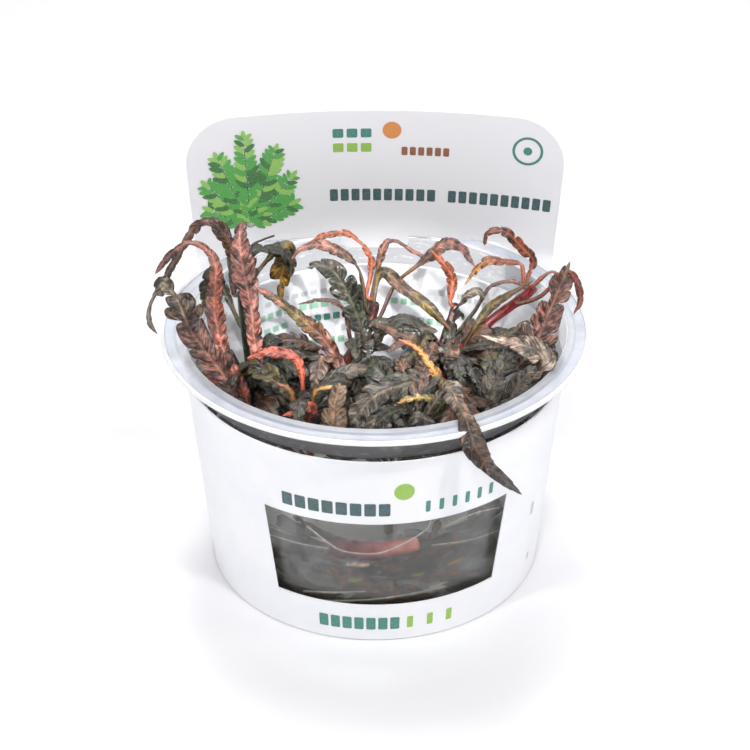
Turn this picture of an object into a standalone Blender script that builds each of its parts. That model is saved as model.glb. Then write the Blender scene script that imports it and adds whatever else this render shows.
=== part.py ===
"""An open tissue culture cup with a red, pinnate-leaved water plant in gel.

The clear cup stands in a white card sleeve. The sleeve has a window in front
and a tall header tag at the back, which hooks over the cup's rim. Young plants
root in a clear gel and reach over the rim. Front is -Y, up is +Z, and the cup
stands on z = 0 with its axis on the Z axis.
"""
import math

import bmesh
import bpy
from mathutils import Matrix, Vector

# All sizes below are millimetres; the meshes are made in metres.
MM = 0.001
GAP = 0.3

# Cup: a tapered clear tub with a flat flange round its mouth
CUP_BASE_RADIUS = 37.5
TAPER = 0.085
CUP_WALL = 0.7
CUP_FLOOR = 0.9
FLOOR_CORNER = 1.2
EDGE_ROUND = 0.3
SHOULDER_HEIGHT = 52.0
SHOULDER_RISE = 1.5
MOUTH_RADIUS = 42.5
FLANGE_RADIUS = 47.5
FLANGE_TOP = 58.8
FLANGE_THICKNESS = 0.9
BEAD_HEIGHT = 0.5
BEAD_WIDTH = 1.6
MOUTH_STEP = 0.8
CUP_STEPS = 48

# Gel: clear medium that the plants root in
GEL_TOP = 25.0
MENISCUS = 1.2
MENISCUS_WIDTH = 3.0
ROOT_DEPTH = 12.0
POCKET_SIDES = 8
POCKET_RISE = 4.0
GEL_STEPS = 36

# Sleeve: a wrap of white card, its header tag and the window in its front
CARD = 0.4
SLEEVE_BASE_RADIUS = CUP_BASE_RADIUS + GAP + CARD / 2
SLEEVE_FOOT = 0.3
SLEEVE_TOP = 50.7
WRAP_SIDE_COLUMNS = 17
WRAP_ROWS = (SLEEVE_FOOT, 46.0, 48.4, SLEEVE_TOP)
WRAP_RADIUS = SLEEVE_BASE_RADIUS + TAPER * SLEEVE_TOP
TAG_CURVE = 138.0
TAG_DEPTH = 40.4
TAG_LEAN = 0.05
TAG_FOOT = 59.7
TAG_TOP = 91.6
TAG_HALF_WIDTH = 43.0
TAG_FLARE = 0.07
TAG_CORNER = 11.5
SLOT_HALF_LENGTH = 31.0
SLOT_ROWS = (52.8, 54.7)
TONGUE_HALF_WIDTH = 8.2
TONGUE_FOOT = 56.6
TAG_ROW_PARTS = (0.1, 0.55, 0.82, 1.0)
WINDOW_AZIMUTH = 4.3
WINDOW_TOP = 33.9
WINDOW_FOOT = 10.5
WINDOW_TOP_HALF_WIDTH = 26.2
WINDOW_FOOT_HALF_WIDTH = 23.7
WINDOW_CUT_NEAR = -60.0
WINDOW_CUT_FAR = -12.0

# Bend of the card from the round wrap to the flatter tag: sharp over the slot,
# longer beside it, and fading out round the sides
SLOT_BEND = (52.0, 56.0)
SIDE_BEND = (46.0, 59.0)
SLOT_EASE = (4.0, 3.0)
TAG_FADE = (1.0, 20.0)

# Leaves: thin blades with a midrib ridge and toothed, pinnate edges
LEAF_THICKNESS = 0.7
LEAF_RING_STEP = 2.3
LOBE_NOTCH = 0.55
PETIOLE_WIDTH = 1.0
BLADE_FOOT = 0.10
BLADE_SPAN = 0.86
BLADE_FULLNESS = 0.75
BLADE_TIP_WIDTH = 0.5
LOBED_FROM_WIDTH = 2.2
FOOT_LEAN = 0.5
FACING_VIEW = (0.0, -0.7, 0.7)
FACING_UP = (0.0, -0.25, 1.0)

# Stems: round tubes that grow a little thinner towards their tips
STEM_POINT_STEP = 4.0
STEM_TAPER = 0.25

CLEAR = (0.93, 0.95, 0.96)
GEL_TINT = (0.86, 0.84, 0.76)
CARD_WHITE = (0.93, 0.93, 0.95)
CORAL = (0.79, 0.16, 0.10)
PINK = (0.61, 0.19, 0.19)
BROWN = (0.11, 0.055, 0.05)
MAROON = (0.10, 0.02, 0.025)
CRIMSON = (0.16, 0.015, 0.02)
GREY_GREEN = (0.21, 0.22, 0.18)
GREY_BROWN = (0.20, 0.16, 0.13)
OLIVE = (0.18, 0.13, 0.025)
DARK_GREEN = (0.025, 0.04, 0.022)
ORANGE = (0.48, 0.11, 0.03)
YELLOW = (0.66, 0.38, 0.06)
PALE_PINK = (0.42, 0.33, 0.29)


def clear_scene():
    """Remove every object that the file starts with."""
    for thing in list(bpy.data.objects):
        bpy.data.objects.remove(thing, do_unlink=True)


def material(name, colour, roughness, metallic=0.0, transmission=0.0, ior=1.5):
    """Make a Principled material."""
    made = bpy.data.materials.new(name)
    made.use_nodes = True
    shader = made.node_tree.nodes["Principled BSDF"]
    shader.inputs["Base Color"].default_value = (*colour, 1.0)
    shader.inputs["Roughness"].default_value = roughness
    shader.inputs["Metallic"].default_value = metallic
    shader.inputs["Transmission Weight"].default_value = transmission
    shader.inputs["IOR"].default_value = ior
    made.diffuse_color = (*colour, 1.0)
    return made


def add_object(name, mesh, collection, finish=None):
    """Put a mesh in the scene under a name."""
    thing = bpy.data.objects.new(name, mesh)
    collection.objects.link(thing)
    if finish is not None:
        mesh.materials.append(finish)
    return thing


def shade(mesh, angle=40.0):
    """Shade a mesh smooth, apart from its hard edges."""
    mesh.shade_smooth()
    mesh.set_sharp_from_angle(angle=math.radians(angle))


def mesh_from(name, points, faces):
    """Make a mesh from points in millimetres."""
    mesh = bpy.data.meshes.new(name)
    mesh.from_pydata([Vector(point) * MM for point in points], [], faces)
    mesh.update()
    return mesh


def turned(name, profile, collection, finish, steps=CUP_STEPS):
    """Turn an open profile of (radius, height) points that ends on the axis."""
    mesh = bpy.data.meshes.new(name)
    points = [Vector((radius, 0.0, height)) * MM for radius, height in profile]
    mesh.from_pydata(points, [(i, i + 1) for i in range(len(points) - 1)], [])
    thing = add_object(name, mesh, collection, finish)
    screw = thing.modifiers.new("turn", "SCREW")
    screw.steps = steps
    screw.render_steps = steps
    screw.use_merge_vertices = True
    screw.merge_threshold = 0.00005
    screw.use_smooth_shade = True
    return thing


def cut(thing, cutter, cutters):
    """Subtract a cutter from an object."""
    cutter.hide_render = True
    cutter.display_type = "WIRE"
    if cutter.name not in cutters.objects:
        cutters.objects.link(cutter)
    boolean = thing.modifiers.new(cutter.name, "BOOLEAN")
    boolean.operation = "DIFFERENCE"
    boolean.solver = "EXACT"
    boolean.object = cutter


def cup_radius(height):
    """Outer radius of the cup's tapered wall at a height."""
    return CUP_BASE_RADIUS + TAPER * height


def make_cup(collection):
    """Turn the clear cup: floor, wall, shoulder, bead and flange."""
    inner = -CUP_WALL
    flange_foot = FLANGE_TOP - FLANGE_THICKNESS
    bead_top = FLANGE_TOP + BEAD_HEIGHT
    shoulder = cup_radius(SHOULDER_HEIGHT)
    profile = [
        (0.0, CUP_FLOOR),
        (cup_radius(0) + inner - FLOOR_CORNER, CUP_FLOOR),
        (cup_radius(2) + inner, CUP_FLOOR + FLOOR_CORNER),
        (shoulder + inner, SHOULDER_HEIGHT),
        (MOUTH_RADIUS - CUP_WALL, SHOULDER_HEIGHT + SHOULDER_RISE),
        (MOUTH_RADIUS, bead_top),
        (MOUTH_RADIUS + BEAD_WIDTH, bead_top),
        (MOUTH_RADIUS + BEAD_WIDTH + BEAD_HEIGHT, FLANGE_TOP),
        (FLANGE_RADIUS - EDGE_ROUND, FLANGE_TOP),
        (FLANGE_RADIUS, FLANGE_TOP - EDGE_ROUND),
        (FLANGE_RADIUS, flange_foot),
        (MOUTH_RADIUS + MOUTH_STEP, flange_foot),
        (MOUTH_RADIUS, SHOULDER_HEIGHT + SHOULDER_RISE),
        (shoulder, SHOULDER_HEIGHT),
        (cup_radius(1), FLOOR_CORNER),
        (cup_radius(0) - FLOOR_CORNER, 0.0),
        (0.0, 0.0),
    ]
    clear = material("clear_plastic", CLEAR, 0.05, transmission=1.0, ior=1.49)
    return turned("cup", profile, collection, clear)


def make_gel(collection, cutters, stems):
    """Turn the gel, and cut an open pocket where each stem goes in."""
    foot = CUP_FLOOR + GAP
    clearance = CUP_WALL + GAP
    profile = [
        (0.0, GEL_TOP),
        (cup_radius(GEL_TOP) - clearance - MENISCUS_WIDTH, GEL_TOP),
        (cup_radius(GEL_TOP) - clearance, GEL_TOP + MENISCUS),
        (cup_radius(2) - clearance, foot + FLOOR_CORNER),
        (cup_radius(0) - clearance - FLOOR_CORNER, foot),
        (0.0, foot),
    ]
    finish = material("gel", GEL_TINT, 0.1, transmission=1.0, ior=1.34)
    gel = turned("gel", profile, collection, finish, GEL_STEPS)
    for name, radius, route in stems:
        mesh = bpy.data.meshes.new(name + "_pocket")
        drill = bmesh.new()
        depth = GEL_TOP - ROOT_DEPTH + 2.0 * GAP + POCKET_RISE
        wide = (radius + GAP) / math.cos(math.pi / POCKET_SIDES) * MM
        bmesh.ops.create_cone(
            drill, cap_ends=True, segments=POCKET_SIDES, depth=depth * MM,
            radius1=wide, radius2=wide,
        )
        drill.to_mesh(mesh)
        drill.free()
        pocket = bpy.data.objects.new(mesh.name, mesh)
        centre = ROOT_DEPTH - 2.0 * GAP + depth / 2
        pocket.location = Vector((route[0][0], route[0][1], centre)) * MM
        cut(gel, pocket, cutters)
    return gel


def smooth_step(low, high, value):
    """Rise from 0 to 1 between two values."""
    t = min(1.0, max(0.0, (value - low) / (high - low)))
    return t * t * (3.0 - 2.0 * t)


def card_point(along, height):
    """Middle of the card at a distance round the wrap from the back, and a height."""
    angle = along / WRAP_RADIUS
    radius = SLEEVE_BASE_RADIUS + TAPER * height
    wrap = Vector((radius * math.sin(angle), radius * math.cos(angle), height))
    bend = along / TAG_CURVE
    depth = TAG_DEPTH + TAG_LEAN * (height - TAG_FOOT)
    depth -= TAG_CURVE * (1.0 - math.cos(bend))
    flat = Vector((TAG_CURVE * math.sin(bend), depth, height))
    side = smooth_step(SLOT_HALF_LENGTH - SLOT_EASE[0], SLOT_HALF_LENGTH + SLOT_EASE[1], abs(along))
    start = SLOT_BEND[0] + (SIDE_BEND[0] - SLOT_BEND[0]) * side
    end = SLOT_BEND[1] + (SIDE_BEND[1] - SLOT_BEND[1]) * side
    fade = 1.0 - smooth_step(TAG_HALF_WIDTH + TAG_FADE[0], TAG_HALF_WIDTH + TAG_FADE[1], abs(along))
    weight = smooth_step(start, end, height) * fade
    return wrap.lerp(flat, weight)


def tag_columns():
    """Distances from the middle of the tag to each column of its mesh."""
    corner = TAG_HALF_WIDTH - TAG_CORNER
    columns = [0.0, 4.1, TONGUE_HALF_WIDTH, 14.0, 20.0, 25.0, SLOT_HALF_LENGTH]
    columns += [corner + TAG_CORNER * math.sin(math.radians(a)) for a in (8, 30, 52, 72, 90)]
    return [-value for value in reversed(columns[1:])] + columns


def wrap_columns():
    """Distances of every column round the wrap, the tag's own among them."""
    half = math.pi * WRAP_RADIUS
    behind = tag_columns()
    step = (half - TAG_HALF_WIDTH) / WRAP_SIDE_COLUMNS
    right = [TAG_HALF_WIDTH + step * (i + 1) for i in range(WRAP_SIDE_COLUMNS)]
    left = [-value for value in reversed(right[:-1])]
    return left + behind + right


def tag_top(along):
    """Height of the tag's top edge, which ends in round corners."""
    corner = TAG_HALF_WIDTH - TAG_CORNER
    past = min(TAG_CORNER, max(0.0, abs(along) - corner))
    return TAG_TOP - TAG_CORNER + math.sqrt(TAG_CORNER ** 2 - past ** 2)


def make_sleeve(collection, cutters):
    """Build the card: the wrap, the tag over its slot, and the window."""
    tag_rows = [*SLOT_ROWS, TONGUE_FOOT, TAG_FOOT]
    columns = wrap_columns()
    made = bmesh.new()
    grid = {}
    for i, along in enumerate(columns):
        rows = list(WRAP_ROWS)
        if abs(along) <= TAG_HALF_WIDTH + 0.001:
            top = tag_top(along)
            rows += tag_rows + [TAG_FOOT + (top - TAG_FOOT) * part for part in TAG_ROW_PARTS]
        for j, height in enumerate(rows):
            flare = max(0.0, height - TAG_FOOT) * TAG_FLARE / TAG_HALF_WIDTH
            grid[i, j] = made.verts.new(card_point(along * (1.0 + flare), height) * MM)
    slot_rows = range(len(WRAP_ROWS) - 1, len(WRAP_ROWS) + len(tag_rows) - 1)
    count = len(columns)
    for i in range(count):
        k = (i + 1) % count
        middle = (columns[i] + columns[k]) / 2 if k else 2.0 * TAG_HALF_WIDTH
        for j in range(len(WRAP_ROWS) + len(tag_rows) + len(TAG_ROW_PARTS) - 1):
            corners = [(i, j), (i, j + 1), (k, j + 1), (k, j)]
            in_slot = j in slot_rows and abs(middle) < SLOT_HALF_LENGTH
            tongue = j == slot_rows[-1] and abs(middle) < TONGUE_HALF_WIDTH
            if in_slot and not tongue:
                continue
            if all(corner in grid for corner in corners):
                made.faces.new([grid[corner] for corner in corners])
    loose = [vert for vert in made.verts if not vert.link_faces]
    bmesh.ops.delete(made, geom=loose, context="VERTS")
    bmesh.ops.recalc_face_normals(made, faces=made.faces)
    mesh = bpy.data.meshes.new("sleeve")
    made.to_mesh(mesh)
    made.free()
    shade(mesh)
    sleeve = add_object("sleeve", mesh, collection, material("card", CARD_WHITE, 0.45))
    solid = sleeve.modifiers.new("thickness", "SOLIDIFY")
    solid.thickness = CARD * MM
    solid.offset = 0.0
    cut(sleeve, make_window_cutter(), cutters)
    return sleeve


def make_window_cutter():
    """A tapered block that cuts the window through the front of the wrap."""
    outline = [
        (-WINDOW_FOOT_HALF_WIDTH, WINDOW_FOOT),
        (WINDOW_FOOT_HALF_WIDTH, WINDOW_FOOT),
        (WINDOW_TOP_HALF_WIDTH, WINDOW_TOP),
        (-WINDOW_TOP_HALF_WIDTH, WINDOW_TOP),
    ]
    points = [(x, WINDOW_CUT_NEAR, z) for x, z in outline]
    points += [(x, WINDOW_CUT_FAR, z) for x, z in outline]
    faces = [(0, 1, 2, 3), (7, 6, 5, 4)]
    faces += [(i, i + 4, (i + 1) % 4 + 4, (i + 1) % 4) for i in range(4)]
    mesh = mesh_from("window_cutter", points, faces)
    mesh.transform(Matrix.Rotation(math.radians(WINDOW_AZIMUTH), 4, "Z"))
    return bpy.data.objects.new("window_cutter", mesh)


def curve_through(route, step):
    """Points about a step apart on a smooth curve through a route."""
    nodes = [Vector(point) for point in route]
    nodes = [2 * nodes[0] - nodes[1]] + nodes + [2 * nodes[-1] - nodes[-2]]
    dense = []
    for a, b, c, d in zip(nodes, nodes[1:], nodes[2:], nodes[3:]):
        for k in range(16):
            t = k / 16
            dense.append(0.5 * (2 * b + (c - a) * t + (2 * a - 5 * b + 4 * c - d) * t ** 2
                                + (3 * b - a - 3 * c + d) * t ** 3))
    dense.append(nodes[-2])
    reach = [0.0]
    for a, b in zip(dense, dense[1:]):
        reach.append(reach[-1] + (b - a).length)
    pieces = max(3, round(reach[-1] / step))
    points = []
    at = 0
    for i in range(pieces + 1):
        goal = reach[-1] * i / pieces
        while at < len(reach) - 2 and reach[at + 1] < goal:
            at += 1
        part = (goal - reach[at]) / max(1e-9, reach[at + 1] - reach[at])
        points.append(dense[at].lerp(dense[at + 1], min(1.0, part)))
    return points


def tangents(points):
    """Unit direction of a curve at each of its points."""
    last = len(points) - 1
    return [(points[min(last, i + 1)] - points[max(0, i - 1)]).normalized()
            for i in range(last + 1)]


def blade_width(part, width, petiole):
    """Width of a leaf from its foot (0) to its tip (1)."""
    if part < petiole:
        return PETIOLE_WIDTH
    blade = (part - petiole) / (1.0 - petiole)
    swell = math.sin(math.pi * min(1.0, BLADE_FOOT + BLADE_SPAN * blade)) ** BLADE_FULLNESS
    return max(BLADE_TIP_WIDTH, width * swell)


def leaf_foot(stem, height, towards):
    """Where a leaf starts: just off the skin of its stem, on the leaf's side."""
    radius, route = next((radius, route) for name, colour, radius, route in STEMS if name == stem)
    line = curve_through(route, PETIOLE_WIDTH)
    centre = min(line, key=lambda point: abs(point.z - height))
    around = tangents(line)[line.index(centre)]
    away = Vector(towards) - centre
    across = (away - around * away.dot(around)).normalized()
    outward = (across + FOOT_LEAN * away.normalized()).normalized()
    return centre + outward * (radius + GAP + LEAF_THICKNESS)


def make_leaf(name, colour, width, petiole, facing, stem, height, route, collection, finishes):
    """Loft one blade along its route, with a toothed edge and a midrib ridge."""
    foot = leaf_foot(stem, height, route[0])
    points = curve_through([foot] + route, LEAF_RING_STEP)
    ahead = tangents(points)
    rings = []
    for i, (point, along) in enumerate(zip(points, ahead)):
        side = along.cross(Vector(facing)).normalized()
        normal = side.cross(along).normalized()
        part = i / (len(points) - 1)
        half = blade_width(part, width, petiole) / 2
        if part > petiole and i % 2 and width > LOBED_FROM_WIDTH:
            half = max(BLADE_TIP_WIDTH / 2, half * LOBE_NOTCH)
        ridge = LEAF_THICKNESS / 2
        rings.append([point + side * half, point + normal * ridge,
                      point - side * half, point - normal * ridge])
    verts = [corner for ring in rings for corner in ring]
    faces = []
    for i in range(len(rings) - 1):
        for j in range(4):
            k = (j + 1) % 4
            faces.append((4 * i + j, 4 * i + k, 4 * i + 4 + k, 4 * i + 4 + j))
    last = 4 * (len(rings) - 1)
    faces.append((3, 2, 1, 0))
    faces.append((last, last + 1, last + 2, last + 3))
    mesh = mesh_from(name, verts, faces)
    made = bmesh.new()
    made.from_mesh(mesh)
    bmesh.ops.recalc_face_normals(made, faces=made.faces)
    made.to_mesh(mesh)
    made.free()
    shade(mesh)
    if colour not in finishes:
        finishes[colour] = material("leaf_%d" % (len(finishes) + 1), colour, 0.3)
    return add_object(name, mesh, collection, finishes[colour])


def make_stem(name, colour, radius, route, collection):
    """A round stem: a bevelled curve through the points of its route."""
    points = curve_through(route, STEM_POINT_STEP)
    curve = bpy.data.curves.new(name, "CURVE")
    curve.dimensions = "3D"
    curve.bevel_depth = radius * MM
    curve.bevel_resolution = 2
    curve.use_fill_caps = True
    line = curve.splines.new("POLY")
    line.points.add(len(points) - 1)
    for i, point in enumerate(points):
        line.points[i].co = (*(point * MM), 1.0)
        line.points[i].radius = 1.0 - STEM_TAPER * i / (len(points) - 1)
    stem = bpy.data.objects.new(name, curve)
    curve.materials.append(material(name, colour, 0.35))
    collection.objects.link(stem)
    return stem


# Stems: name, colour, radius, and route from the root up
STEMS = (
    ("left_stem", DARK_GREEN, 0.9, [
        (-22, -11, 12), (-22, -11, 25), (-24.5, -12.5, 34), (-27, -12.5, 45), (-28, -8, 54),
        (-29, -5, 63), (-29.5, -3, 69)]),
    ("coral_stem", MAROON, 0.9, [
        (-13, -17, 12), (-13, -17, 25), (-14, -18.5, 35), (-15.5, -21, 45), (-15.5, -22.5, 50)]),
    ("middle_stem", MAROON, 1.4, [
        (-7, 2, 12), (-7, 2, 25), (-8, 2, 35), (-7.5, 3, 45), (-4, 5, 50.5), (-1, 8, 55),
        (0, 10, 59)]),
    ("right_stem", CRIMSON, 1.4, [
        (9, -2, 12), (9, -2, 25), (11, -3, 37), (15.5, -2, 47.5), (19, 0, 51), (24.5, 3, 56.5),
        (29, 5, 59.5), (33, 7, 61.5), (36, 8, 64)]),
    ("right_dark_stem", MAROON, 1.1, [
        (15, 8, 12), (15, 8, 25), (14, 5, 38), (14.5, 4, 47), (16, 6, 53), (18.5, 10, 58.5)]),
    ("front_stem", OLIVE, 1.0, [
        (3, -22, 12), (3, -22, 25), (5, -24, 35), (7.5, -25, 46), (9.5, -25.5, 51)]),
    ("right_front_stem", OLIVE, 1.0, [
        (22, -18, 12), (22, -18, 25), (24, -20, 34), (26, -21.5, 45), (27, -21.5, 50)]),
)

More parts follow.
